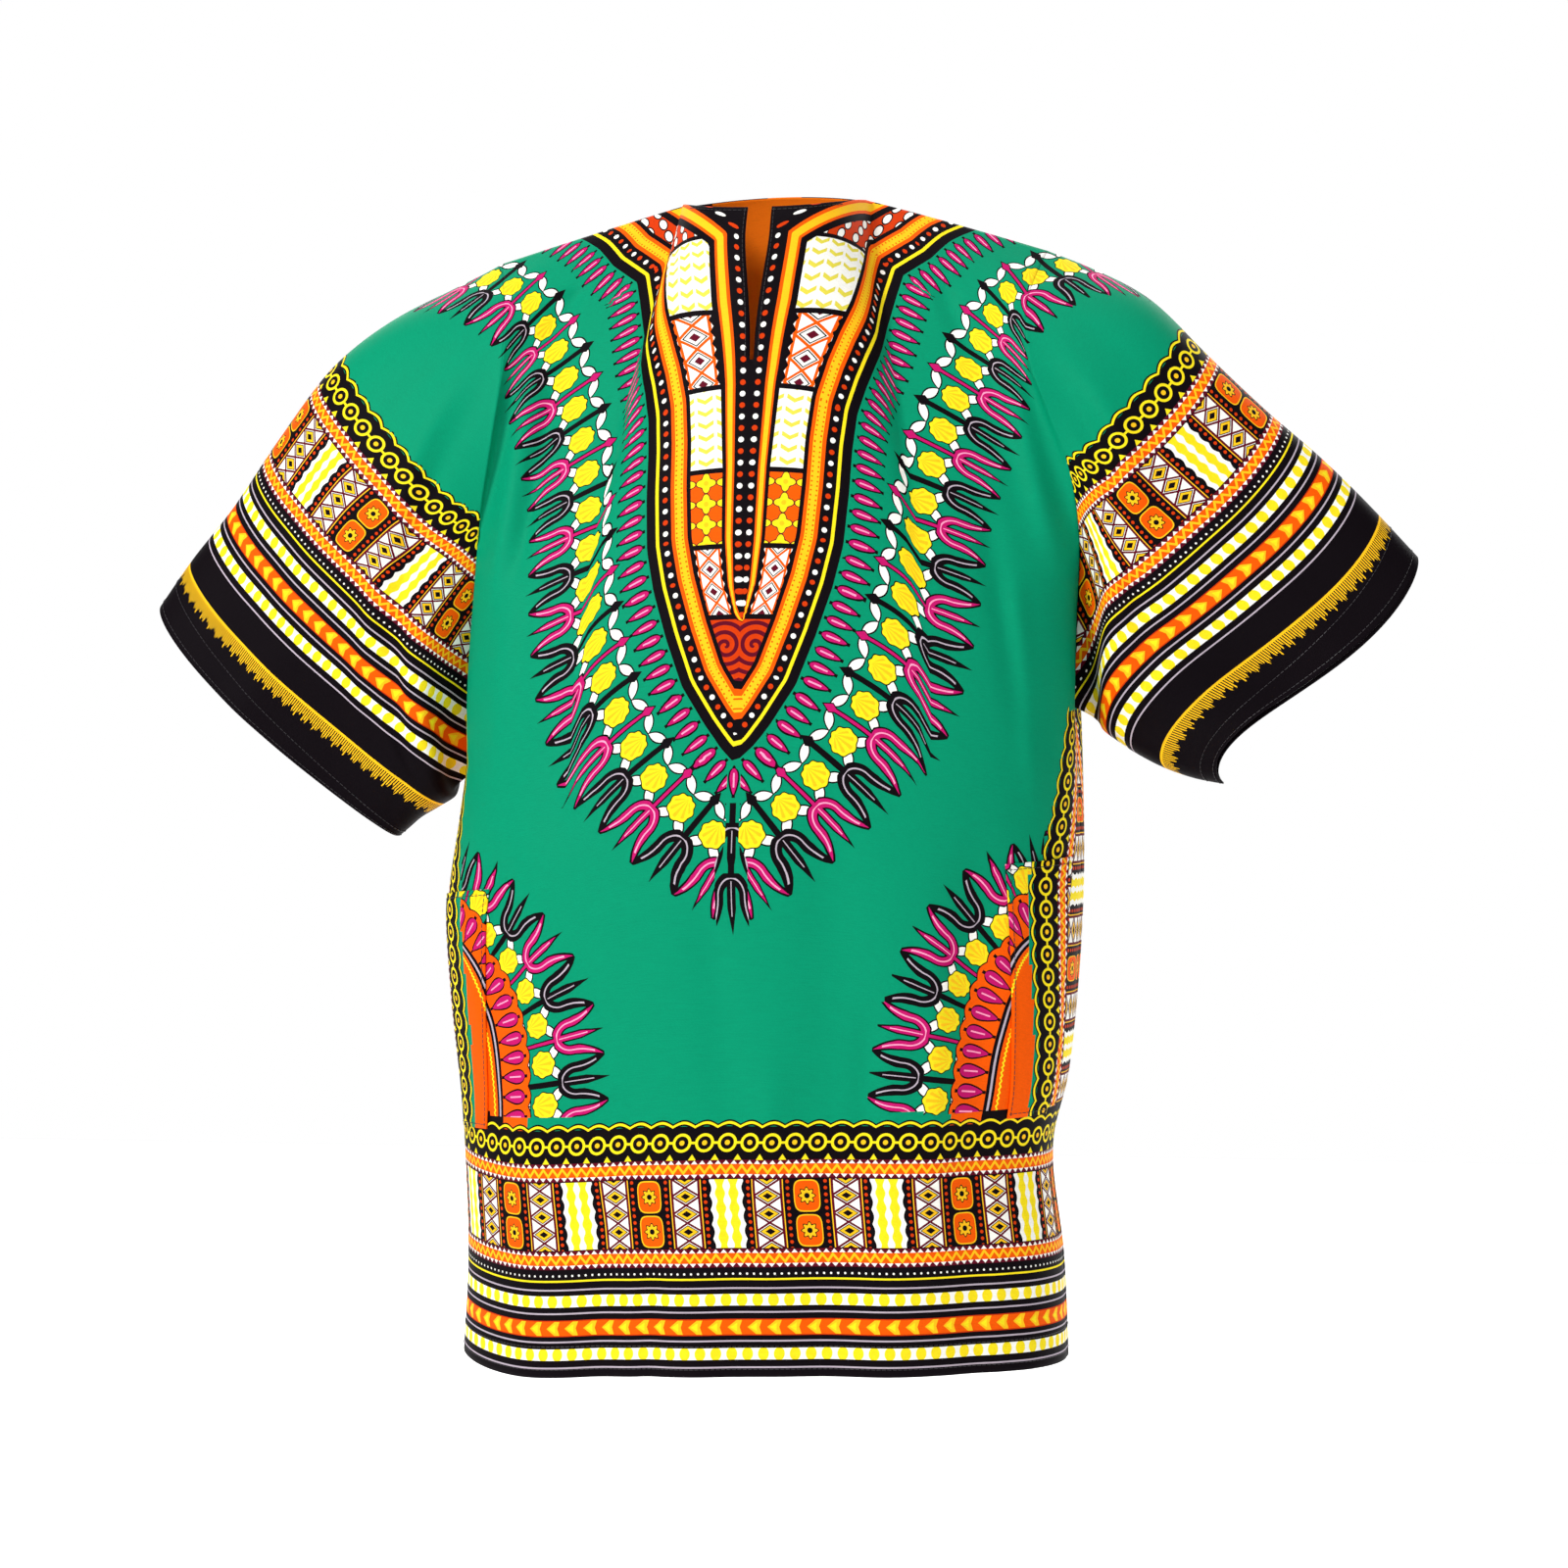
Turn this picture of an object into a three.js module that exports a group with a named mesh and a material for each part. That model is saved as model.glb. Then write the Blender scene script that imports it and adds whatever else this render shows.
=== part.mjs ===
// A dashiki shirt, hollow as when it is worn: front, back, two wide sleeves and two pocket pieces.
// The front faces -Y, +X is the viewer's right, +Z is up. The origin is at the neck, level with the
// highest point of the shoulder line. All sizes are in millimetres.
import * as THREE from 'three';

// Driving sizes. SWAY is how far the middle of both panels hangs to the right.
const CLOTH = 1.4;
const SEAM_GAP = 0.3;
const PANEL_LIFT = 0.8;
const LENGTH = 784;
const SHOULDER_HALF = 190;
const NECK_HALF = 64;
const NECK_FRONT_DEPTH = 58;
const NECK_BACK_DEPTH = 46;
const NECK_FRONT_DROP = 12;
const NECK_BACK_RISE = 10;
const SHOULDER_Y = 8;
const SLIT_HALF_WIDTH = 7.5;
const SLIT_SPREAD = 60;
const SWAY = 4;

// Grid: how finely each piece is faceted.
const COLUMNS_EACH_SIDE = 11;
const CHEST_STEPS = 12;
const SKIRT_STEPS = 11;
const SLIT_STEPS = 5;
const SLEEVE_STEPS = 10;
const CENTRE = 0.004;

// Level sections below the arms, from the underarm to the hem. "level" is the height below the neck
// as a share of LENGTH, "half" the half width, "front" and "back" the depths of the two panels.
const SKIRT = table(['level', 'middle', 'half', 'front', 'back'], [
  [0.468, 2, 213, 121, 106],
  [0.520, -1, 217, 123, 108],
  [0.593, -5, 221, 124, 111],
  [0.676, -5, 217, 123, 114],
  [0.765, -5, 209, 120, 114],
  [0.830, -9, 202, 118, 113],
  [0.918, -4, 205, 118, 113],
  [1.000, -4, 208, 119, 114],
]);
const SQUARENESS = 2.3;
const HEM_DIP = { middle: -0.5, width: 0.34, drop: 9 };

// Where the sleeves are sewn on: the seam's front and back runs, from the shoulder to the underarm.
const SEAM_COLUMNS = ['x', 'y', 'z'];
const LEFT_FRONT_SEAM = table(SEAM_COLUMNS, [
  [-190, 8, -37],
  [-178, -34, -76],
  [-175, -54, -120],
  [-181, -58, -166],
  [-191, -50, -220],
  [-199, -34, -276],
  [-205, -13, -334],
  [-206, 4, -388],
]);
const LEFT_BACK_SEAM = table(SEAM_COLUMNS, [
  [-190, 8, -37],
  [-183, 50, -80],
  [-182, 68, -128],
  [-188, 70, -182],
  [-195, 60, -240],
  [-201, 42, -296],
  [-205, 22, -348],
  [-206, 4, -388],
]);
const RIGHT_FRONT_SEAM = table(SEAM_COLUMNS, [
  [190, 8, -37],
  [181, -34, -76],
  [184, -54, -116],
  [198, -58, -154],
  [211, -52, -192],
  [216, -38, -236],
  [212, -16, -290],
  [208, 4, -346],
]);
const RIGHT_BACK_SEAM = table(SEAM_COLUMNS, [
  [190, 8, -37],
  [184, 50, -78],
  [185, 68, -120],
  [194, 70, -164],
  [203, 60, -210],
  [209, 42, -258],
  [210, 22, -304],
  [208, 4, -346],
]);
const SEAM_REACH = 5;

// How the cloth falls from the shoulder line: the pull at the top of each column, out from the body
// and down, and the straight run that it ends with above the underarm.
const FALL = { centreOut: 26, centreDown: 34, edgeOut: 66, edgeDown: 40, run: 138 };

// Sleeve sections from the armhole to the cuff. "top" and "low" are the ends of each section seen from
// the front, "front" and "back" its depths, and "round" how far it has turned from the armhole's own
// shape into an oval. "bow" and "wave" push the section's middle along the sleeve.
const SLEEVE_COLUMNS = ['topX', 'topZ', 'lowX', 'lowZ', 'front', 'back', 'round', 'bow', 'wave'];
const LEFT_SLEEVE = table(SLEEVE_COLUMNS, [
  [-190, -37, -206, -388, 60, 68, 0.00, 0, 0],
  [-232, -55, -212, -397, 66, 66, 0.45, 0, 0],
  [-270, -76, -219, -404, 66, 64, 0.85, 2, 0],
  [-308, -108, -227, -409, 60, 58, 1.00, 4, 0],
  [-344, -154, -237, -415, 52, 50, 1.00, 6, 1],
  [-378, -202, -247, -421, 44, 42, 1.00, 8, 2],
  [-408, -238, -255, -428, 38, 36, 1.00, 9, 3],
  [-432, -271, -262, -434, 35, 33, 1.00, 10, 3],
]);
const RIGHT_SLEEVE = table(SLEEVE_COLUMNS, [
  [190, -37, 208, -346, 60, 68, 0.00, 0, 0],
  [224, -50, 215, -352, 66, 66, 0.45, 0, 0],
  [262, -72, 223, -359, 66, 64, 0.85, 0, 0],
  [298, -110, 235, -367, 60, 58, 1.00, 0, 2],
  [337, -148, 250, -377, 52, 50, 1.00, 0, 5],
  [373, -180, 269, -387, 44, 42, 1.00, 0, 8],
  [404, -211, 289, -394, 38, 36, 1.00, -1, 11],
  [437, -247, 309, -398, 35, 33, 1.00, -2, 13],
]);
const SLEEVE_SQUARENESS = 2.6;
const WAVE_SHAPE = 1.2;

// The largest folds of the front and back: a soft ridge (+) or trough (-) that runs from (x, z) at its
// top to (x, z) at its foot.
const FOLD_COLUMNS = ['topX', 'topZ', 'footX', 'footZ', 'width', 'height'];
const FRONT_FOLDS = table(FOLD_COLUMNS, [
  [-152, -90, -176, -240, 10, 8],
  [-176, -430, -160, -560, 14, -5],
  [-148, -560, -150, -800, 22, 4],
  [-95, -640, -100, -820, 18, -5],
  [-45, -600, -30, -820, 24, 5],
  [60, -330, 52, -820, 22, -4],
  [118, -420, 98, -820, 24, 4],
  [152, -400, 150, -820, 16, -5],
  [160, -86, 194, -220, 10, 8],
]);
const BACK_FOLDS = table(FOLD_COLUMNS, [
  [-158, -100, -180, -260, 11, 8],
  [-120, -420, -128, -820, 22, -5],
  [-60, -520, -62, -820, 26, 5],
  [10, -460, 4, -820, 24, -5],
  [82, -500, 88, -820, 26, 5],
  [140, -420, 146, -820, 20, -5],
  [160, -90, 186, -240, 11, 8],
]);

// Folds of the sleeves. "around" is the place round the section: 0 at the top, 0.5 at the underarm,
// the front between. "from" and "to" are shares of the sleeve's length.
const SLEEVE_FOLD_COLUMNS = ['aroundFrom', 'aroundTo', 'from', 'to', 'width', 'height'];
const LEFT_SLEEVE_FOLDS = table(SLEEVE_FOLD_COLUMNS, [
  [0.10, 0.30, 0.02, 0.40, 0.035, 8],
  [0.16, 0.38, 0.05, 0.55, 0.030, -8],
  [0.30, 0.34, 0.45, 1.05, 0.050, -3],
  [0.80, 0.70, 0.05, 0.60, 0.040, -7],
]);
const RIGHT_SLEEVE_FOLDS = table(SLEEVE_FOLD_COLUMNS, [
  [0.10, 0.26, 0.02, 0.40, 0.035, 8],
  [0.17, 0.36, 0.05, 0.60, 0.030, -7],
  [0.37, 0.34, 0.40, 1.10, 0.045, 9],
  [0.29, 0.27, 0.45, 1.10, 0.040, -6],
  [0.80, 0.70, 0.05, 0.60, 0.040, -7],
]);

// Pocket pieces: columns of the front's grid on each side, rows below the underarm, and how far the
// mouth has slanted outward at its foot, as a share of the first column.
const POCKET = { firstColumn: 6, lastColumn: 9, firstRow: 3, lastRow: 7, slant: 0.9 };

const GREEN = '#12a878';
const POCKET_ORANGE = '#f2640f';

const range = (count) => Array.from({ length: count }, (_, i) => i);
const mix = (a, b, t) => a + (b - a) * t;
const ease = (t) => t * t * (3 - 2 * t);
const clamp = (t) => Math.min(1, Math.max(0, t));
const power = (value, exponent) => Math.sign(value) * Math.abs(value) ** exponent;

// A table with named columns, as a list of named rows.
function table(names, rows) {
  return rows.map((row) => Object.fromEntries(names.map((name, i) => [name, row[i]])));
}

// One row of a table, read smoothly between its rows at t from 0 to 1.
function readTable(rows, t) {
  const place = clamp(t) * (rows.length - 1);
  const index = Math.min(rows.length - 2, Math.floor(place));
  const f = place - index;
  const before = rows[Math.max(0, index - 1)];
  const from = rows[index];
  const to = rows[index + 1];
  const after = rows[Math.min(rows.length - 1, index + 2)];
  const value = (name) => {
    const startSlope = (to[name] - before[name]) / 2;
    const endSlope = (after[name] - from[name]) / 2;
    const rise = to[name] - from[name];
    return from[name] + startSlope * f
      + (3 * rise - 2 * startSlope - endSlope) * f * f
      + (startSlope + endSlope - 2 * rise) * f * f * f;
  };
  return Object.fromEntries(Object.keys(from).map((name) => [name, value(name)]));
}

function readPoint(seam, t) {
  const { x, y, z } = readTable(seam, t);
  return new THREE.Vector3(x, y, z);
}

// How far the folds in a table move a point in or out.
function foldHeight(folds, x, z) {
  let total = 0;
  for (const fold of folds) {
    const along = (fold.topZ - z) / (fold.topZ - fold.footZ);
    if (along > 0 && along < 1.4) {
      const across = (x - mix(fold.topX, fold.footX, along)) / fold.width;
      const fade = ease(clamp(along / 0.3)) * ease(clamp((1.4 - along) / 0.5));
      total += fold.height * Math.exp(-across * across) * fade;
    }
  }
  return total;
}

// The shoulder and neck line of the front (side -1) or back (side +1), at p from -1 to 1 across.
function topEdge(p, side) {
  const x = p * SHOULDER_HALF;
  const drop = p < 0 ? -LEFT_FRONT_SEAM[0].z : -RIGHT_FRONT_SEAM[0].z;
  if (Math.abs(x) >= NECK_HALF) {
    const along = (Math.abs(x) - NECK_HALF) / (SHOULDER_HALF - NECK_HALF);
    return new THREE.Vector3(x, SHOULDER_Y, -drop * along ** 1.05);
  }
  const inward = Math.sqrt(1 - (x / NECK_HALF) ** 2);
  const depth = side < 0 ? NECK_FRONT_DEPTH + SHOULDER_Y : NECK_BACK_DEPTH - SHOULDER_Y;
  const lift = side < 0 ? -NECK_FRONT_DROP : NECK_BACK_RISE;
  return new THREE.Vector3(x, SHOULDER_Y + side * depth * inward, lift * inward ** 1.5);
}

// A level section of the skirt part: p from -1 to 1 across the panel, down from 0 to 1.
function skirtPoint(p, down, side) {
  const row = readTable(SKIRT, down);
  const left = LEFT_FRONT_SEAM.at(-1);
  const right = RIGHT_FRONT_SEAM.at(-1);
  const angle = p * Math.PI / 2;
  const depth = (side < 0 ? row.front : row.back) * Math.cos(angle) ** (2 / SQUARENESS);
  const x = row.middle + row.half * power(Math.sin(angle), 2 / SQUARENESS);
  const ontoSeam = Math.abs(p) ** 6 * (1 - down) ** 3;
  const share = (row.level - SKIRT[0].level) / (1 - SKIRT[0].level);
  const start = mix(left.z, right.z, (p + 1) / 2);
  const dipAcross = (p - HEM_DIP.middle) / HEM_DIP.width;
  const dip = side < 0 ? HEM_DIP.drop * Math.exp(-(dipAcross ** 2)) * (1 - p ** 8) : 0;
  return new THREE.Vector3(
    mix(x, p < 0 ? left.x : right.x, ontoSeam),
    side * depth + left.y * (1 - down) * Math.abs(p) ** 3,
    mix(start, -LENGTH, share) - dip * down ** 3,
  );
}

// The panel from the shoulder line (q = 0) to the underarm (q = 1).
function chestPoint(p, q, side) {
  const top = topEdge(p, side);
  const foot = skirtPoint(p, 0, side);
  const edge = Math.abs(p) ** 1.5;
  const pull = new THREE.Vector3(
    0,
    side * mix(FALL.centreOut, FALL.edgeOut, edge),
    -mix(FALL.centreDown, FALL.edgeDown, edge),
  );
  const curve = new THREE.CubicBezierCurve3(
    top,
    top.clone().add(pull),
    foot.clone().add(new THREE.Vector3(0, 0, FALL.run)),
    foot,
  );
  const point = curve.getPoint(q);
  const seams = side < 0 ? [LEFT_FRONT_SEAM, RIGHT_FRONT_SEAM] : [LEFT_BACK_SEAM, RIGHT_BACK_SEAM];
  const seam = readPoint(seams[p < 0 ? 0 : 1], q);
  const sideCurve = chestSide(Math.sign(p) || 1, q, side);
  return point.add(seam.sub(sideCurve).multiplyScalar(Math.abs(p) ** SEAM_REACH));
}

// The same curve at the panel's own side, before it is moved onto the sleeve seam.
function chestSide(sign, q, side) {
  const top = topEdge(sign, side);
  const foot = skirtPoint(sign, 0, side);
  const pull = new THREE.Vector3(0, side * FALL.edgeOut, -FALL.edgeDown);
  return new THREE.CubicBezierCurve3(
    top,
    top.clone().add(pull),
    foot.clone().add(new THREE.Vector3(0, 0, FALL.run)),
    foot,
  ).getPoint(q);
}

function panelPoint(p, row, side) {
  const chest = row <= CHEST_STEPS;
  const down = (row - CHEST_STEPS) / SKIRT_STEPS;
  const point = chest ? chestPoint(p, row / CHEST_STEPS, side) : skirtPoint(p, down, side);
  const folds = side < 0 ? FRONT_FOLDS : BACK_FOLDS;
  point.y += side * foldHeight(folds, point.x, point.z) * (1 - Math.abs(p) ** 8);
  point.x += SWAY * (1 - p * p);
  if (side < 0 && row < SLIT_STEPS) {
    const open = SLIT_HALF_WIDTH * ease(clamp(1.35 * (1 - row / SLIT_STEPS)));
    point.x += Math.sign(p) * open * Math.max(0, 1 - Math.abs(point.x) / SLIT_SPREAD);
  }
  return point;
}

const PANEL_PLACES = [
  ...range(COLUMNS_EACH_SIDE).map((i) => -1 + i / COLUMNS_EACH_SIDE),
  -CENTRE,
  CENTRE,
  ...range(COLUMNS_EACH_SIDE).map((i) => (i + 1) / COLUMNS_EACH_SIDE),
];

function panel(name, side) {
  const rows = range(CHEST_STEPS + SKIRT_STEPS + 1)
    .map((row) => PANEL_PLACES.map((p) => panelPoint(p, row, side)));
  const slit = (row, column) => side < 0 && column === COLUMNS_EACH_SIDE && row < SLIT_STEPS;
  return { name, rows, flip: side > 0, isOpen: slit, closed: false };
}

// The armhole as one loop, from the shoulder down the front seam and up the back one.
function armhole(frontSeam, backSeam) {
  const front = range(CHEST_STEPS + 1).map((i) => readPoint(frontSeam, i / CHEST_STEPS));
  const back = range(CHEST_STEPS - 1)
    .map((i) => readPoint(backSeam, (CHEST_STEPS - 1 - i) / CHEST_STEPS));
  return [...front, ...back];
}

function sleeveFold(folds, around, along) {
  let total = 0;
  for (const fold of folds) {
    const share = (along - fold.from) / (fold.to - fold.from);
    if (share > 0 && share < 1) {
      const across = (around - mix(fold.aroundFrom, fold.aroundTo, share)) / fold.width;
      total += fold.height * Math.exp(-across * across) * Math.sin(Math.PI * share) ** 0.7;
    }
  }
  return total;
}

function sleeve(name, sections, frontSeam, backSeam, folds) {
  const loop = armhole(frontSeam, backSeam);
  const middleOf = (row) => new THREE.Vector3(
    (row.topX + row.lowX) / 2, 0, (row.topZ + row.lowZ) / 2);
  const first = sections[0];
  const mirror = Math.sign(first.topX);
  const rows = range(SLEEVE_STEPS + 1).map((step) => {
    const along = step / SLEEVE_STEPS;
    const row = readTable(sections, along);
    const middle = middleOf(row);
    const half = new THREE.Vector3((row.topX - row.lowX) / 2, 0, (row.topZ - row.lowZ) / 2);
    const outward = new THREE.Vector3(half.z, 0, -half.x).normalize().multiplyScalar(mirror);
    const shift = middle.clone().sub(middleOf(first));
    return loop.map((seam, i) => {
      const around = i / loop.length;
      const angle = around * Math.PI * 2;
      const depth = power(Math.sin(angle), 2 / SLEEVE_SQUARENESS);
      const reach = depth > 0 ? row.front : row.back;
      const oval = middle.clone().addScaledVector(half, Math.cos(angle));
      oval.y = -(reach + sleeveFold(folds, around, along)) * depth + SHOULDER_Y * (1 - along);
      const fromTop = 2 * Math.min(around, 1 - around);
      const wave = row.wave * Math.sin(2 * Math.PI * fromTop ** WAVE_SHAPE);
      oval.addScaledVector(outward, wave + row.bow * Math.sin(Math.PI * fromTop));
      return seam.clone().add(shift).lerp(oval, clamp(row.round));
    });
  });
  return { name, rows, flip: mirror > 0, isOpen: () => false, closed: true };
}

// A pocket piece takes its points from the front, moved out. Its inner edge is the slanted mouth.
function pocket(name, front, mirror) {
  const { firstColumn, lastColumn, firstRow, lastRow, slant } = POCKET;
  const lastOfFront = front.rows[0].length - 1;
  const rows = range(lastRow - firstRow + 1).map((i) => {
    const row = CHEST_STEPS + firstRow + i;
    const points = range(lastColumn - firstColumn + 1).map((k) => {
      const fromLeft = COLUMNS_EACH_SIDE + 1 + firstColumn + k;
      const column = mirror > 0 ? fromLeft : lastOfFront - fromLeft;
      const lift = front.normals[row][column].clone().multiplyScalar(PANEL_LIFT + CLOTH);
      return front.rows[row][column].clone().add(lift);
    });
    points[0].lerp(points[1], slant * i / (lastRow - firstRow));
    return mirror > 0 ? points : points.reverse();
  });
  return { name, rows, flip: false, isOpen: () => false, closed: false };
}

// The cells of a sheet, each as the grid places of its corners in order.
function cellsOf(sheet) {
  const height = sheet.rows.length;
  const width = sheet.rows[0].length;
  const cells = [];
  for (const row of range(height - 1)) {
    for (const column of range(sheet.closed ? width : width - 1)) {
      if (!sheet.isOpen(row, column)) {
        const next = (column + 1) % width;
        const corners = [[row, column], [row + 1, column], [row + 1, next], [row, next]];
        cells.push(sheet.flip ? corners.reverse() : corners);
      }
    }
  }
  return cells;
}

function addNormals(sheet) {
  sheet.cells = cellsOf(sheet);
  sheet.normals = sheet.rows.map((row) => row.map(() => new THREE.Vector3()));
  for (const corners of sheet.cells) {
    const [a, b, c, d] = corners.map(([r, k]) => sheet.rows[r][k]);
    const face = c.clone().sub(a).cross(d.clone().sub(b)).normalize();
    corners.forEach(([r, k]) => sheet.normals[r][k].add(face));
  }
  sheet.normals.forEach((row) => row.forEach((normal) => normal.normalize()));
}

// Where two sheets share a seam point they take one normal, and each draws back half the gap.
function joinSeams(sheets) {
  const meeting = new Map();
  sheets.forEach((sheet) => sheet.rows.forEach((row, r) => row.forEach((point, k) => {
    const key = point.toArray().map((value) => Math.round(value * 20 + 0.3)).join();
    meeting.set(key, [...(meeting.get(key) ?? []), { sheet, r, k }]);
  })));
  const shared = [...meeting.values()].filter((group) => new Set(group.map((m) => m.sheet)).size > 1);
  const moves = [];
  for (const group of shared) {
    const normal = new THREE.Vector3();
    group.forEach(({ sheet, r, k }) => normal.add(sheet.normals[r][k]));
    normal.normalize();
    group.forEach(({ sheet, r, k }) => moves.push({ sheet, r, k, normal, inward: inwardOf(sheet, r, k) }));
  }
  for (const { sheet, r, k, normal, inward } of moves) {
    sheet.normals[r][k].copy(normal);
    inward.addScaledVector(normal, -inward.dot(normal)).normalize();
    sheet.rows[r][k].addScaledVector(inward, SEAM_GAP / 2);
  }
}

// The way from a border point into its own sheet.
function inwardOf(sheet, r, k) {
  const height = sheet.rows.length;
  const width = sheet.rows[0].length;
  const here = sheet.rows[r][k];
  const inward = new THREE.Vector3();
  const towards = (row, column) => inward.add(sheet.rows[row][column].clone().sub(here).normalize());
  if (r === 0) towards(1, k);
  if (r === height - 1) towards(height - 2, k);
  if (!sheet.closed && k === 0) towards(r, 1);
  if (!sheet.closed && k === width - 1) towards(r, width - 2);
  return inward;
}

// One closed wall: the sheet's outer face, its inner face and a rim along every free edge.
function wall(sheet, colour) {
  const width = sheet.rows[0].length;
  const count = sheet.rows.length * width;
  const outer = sheet.rows.flat();
  const inner = outer.map((point, i) => point.clone()
    .addScaledVector(sheet.normals[Math.floor(i / width)][i % width], -CLOTH));
  const faces = [];
  const quad = (a, b, c, d) => faces.push(a, b, c, a, c, d);
  const edges = new Map();
  for (const corners of sheet.cells) {
    const [a, b, c, d] = corners.map(([r, k]) => r * width + k);
    quad(a, b, c, d);
    quad(a + count, d + count, c + count, b + count);
    [[a, b], [b, c], [c, d], [d, a]].forEach(([from, to]) => {
      if (!edges.delete(`${to},${from}`)) edges.set(`${from},${to}`, [from, to]);
    });
  }
  // Both sides of a seam split their rims along the diagonal that starts at the lower outer point.
  for (const [from, to] of edges.values()) {
    if (outer[from].z < outer[to].z) quad(from, from + count, to + count, to);
    else quad(to, from, from + count, to + count);
  }
  const geometry = new THREE.BufferGeometry();
  const places = [...outer, ...inner].flatMap((point) => point.toArray());
  geometry.setAttribute('position', new THREE.Float32BufferAttribute(places, 3));
  geometry.setIndex(faces);
  const material = new THREE.MeshStandardMaterial({ color: colour, roughness: 0.75, metalness: 0 });
  const mesh = new THREE.Mesh(geometry, material);
  mesh.name = sheet.name;
  return mesh;
}

const front = panel('front', -1);
const back = panel('back', 1);
const sleeveLeft = sleeve(
  'sleeve_left', LEFT_SLEEVE, LEFT_FRONT_SEAM, LEFT_BACK_SEAM, LEFT_SLEEVE_FOLDS);
const sleeveRight = sleeve(
  'sleeve_right', RIGHT_SLEEVE, RIGHT_FRONT_SEAM, RIGHT_BACK_SEAM, RIGHT_SLEEVE_FOLDS);
const garment = [front, back, sleeveLeft, sleeveRight];
garment.forEach(addNormals);
const pockets = [pocket('pocket_left', front, -1), pocket('pocket_right', front, 1)];
pockets.forEach(addNormals);
joinSeams(garment);

const shirt = new THREE.Group();
garment.forEach((sheet) => shirt.add(wall(sheet, GREEN)));
pockets.forEach((sheet) => shirt.add(wall(sheet, POCKET_ORANGE)));

export default shirt;
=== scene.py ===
import math

import bpy
import numpy as np
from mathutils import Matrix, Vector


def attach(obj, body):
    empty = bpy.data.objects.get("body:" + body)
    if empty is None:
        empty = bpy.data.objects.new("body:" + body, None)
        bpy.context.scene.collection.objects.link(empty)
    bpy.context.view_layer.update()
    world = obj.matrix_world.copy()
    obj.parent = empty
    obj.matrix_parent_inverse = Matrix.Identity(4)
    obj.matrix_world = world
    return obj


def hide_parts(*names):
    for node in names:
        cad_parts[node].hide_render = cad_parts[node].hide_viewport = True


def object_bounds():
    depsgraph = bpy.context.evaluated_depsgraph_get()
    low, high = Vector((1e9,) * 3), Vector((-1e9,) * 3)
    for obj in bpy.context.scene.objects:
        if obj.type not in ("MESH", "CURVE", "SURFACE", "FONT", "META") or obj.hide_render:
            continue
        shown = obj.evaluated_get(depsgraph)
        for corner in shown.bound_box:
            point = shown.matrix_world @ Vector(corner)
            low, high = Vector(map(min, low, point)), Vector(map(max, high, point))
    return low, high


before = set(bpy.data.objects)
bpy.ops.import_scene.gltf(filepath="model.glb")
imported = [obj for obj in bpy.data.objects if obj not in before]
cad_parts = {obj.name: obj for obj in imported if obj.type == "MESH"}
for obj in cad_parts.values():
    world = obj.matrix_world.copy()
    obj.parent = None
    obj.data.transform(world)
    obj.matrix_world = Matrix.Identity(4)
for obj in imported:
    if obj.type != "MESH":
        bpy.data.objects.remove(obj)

# A dashiki shirt in printed cotton, hollow as when it is worn. The front faces -Y, the neck is at the
# origin. The cut and the print are in millimetres, and the pieces are in metres.

CAD_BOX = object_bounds()
MM = 0.001

bl_info = {
    "name": "Dashiki Shirt",
    "version": (1, 0, 0),
    "blender": (4, 5, 0),
    "location": "View3D > Sidebar > Shirt",
    "description": "Builds a printed dashiki shirt from its cut, its folds and its print",
    "category": "Add Mesh",
}

# ---------------------------------------------------------------------------------------------
# The hang of the cloth
# ---------------------------------------------------------------------------------------------

LENGTH = 784.0
SHOULDER_HALF = 190.0
SHOULDER_DROP = 37.0
SHOULDER_Y = 8.0
NECK_HALF = 64.0
NECK_DEPTH = {"front": 58.0 + SHOULDER_Y, "back": 46.0 - SHOULDER_Y}
NECK_LIFT = {"front": -12.0, "back": 10.0}
SLIT_HALF_WIDTH = 7.5
SLIT_SPREAD = 60.0
SLIT_SHARE = 5 / 12
SWAY = 4.0
CENTRE = 0.004

# Level sections under the arms: level below the neck as a share of LENGTH, middle, half width, and
# the depths of front and back.
SKIRT = (
    (0.468, 2, 213, 121, 106),
    (0.520, -1, 217, 123, 108),
    (0.593, -5, 221, 124, 111),
    (0.676, -5, 217, 123, 114),
    (0.765, -5, 209, 120, 114),
    (0.830, -9, 202, 118, 113),
    (0.918, -4, 205, 118, 113),
    (1.000, -4, 208, 119, 114),
)
SQUARENESS = 2.3
HEM_DIP = {"middle": -0.5, "width": 0.34, "drop": 9}

# Sleeve seams from the shoulder to the underarm, as x, y, z.
SEAMS = {
    ("front", "left"): (
        (-190, 8, -37), (-178, -34, -76), (-175, -54, -120), (-181, -58, -166),
        (-191, -50, -220), (-199, -34, -276), (-205, -13, -334), (-206, 4, -388)),
    ("back", "left"): (
        (-190, 8, -37), (-183, 50, -80), (-182, 68, -128), (-188, 70, -182),
        (-195, 60, -240), (-201, 42, -296), (-205, 22, -348), (-206, 4, -388)),
    ("front", "right"): (
        (190, 8, -37), (181, -34, -76), (184, -54, -116), (198, -58, -154),
        (211, -52, -192), (216, -38, -236), (212, -16, -290), (208, 4, -346)),
    ("back", "right"): (
        (190, 8, -37), (184, 50, -78), (185, 68, -120), (194, 70, -164),
        (203, 60, -210), (209, 42, -258), (210, 22, -304), (208, 4, -346)),
}
SEAM_REACH = 5
FALL = {"centre_out": 26, "centre_down": 34, "edge_out": 66, "edge_down": 40, "run": 138}

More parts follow.
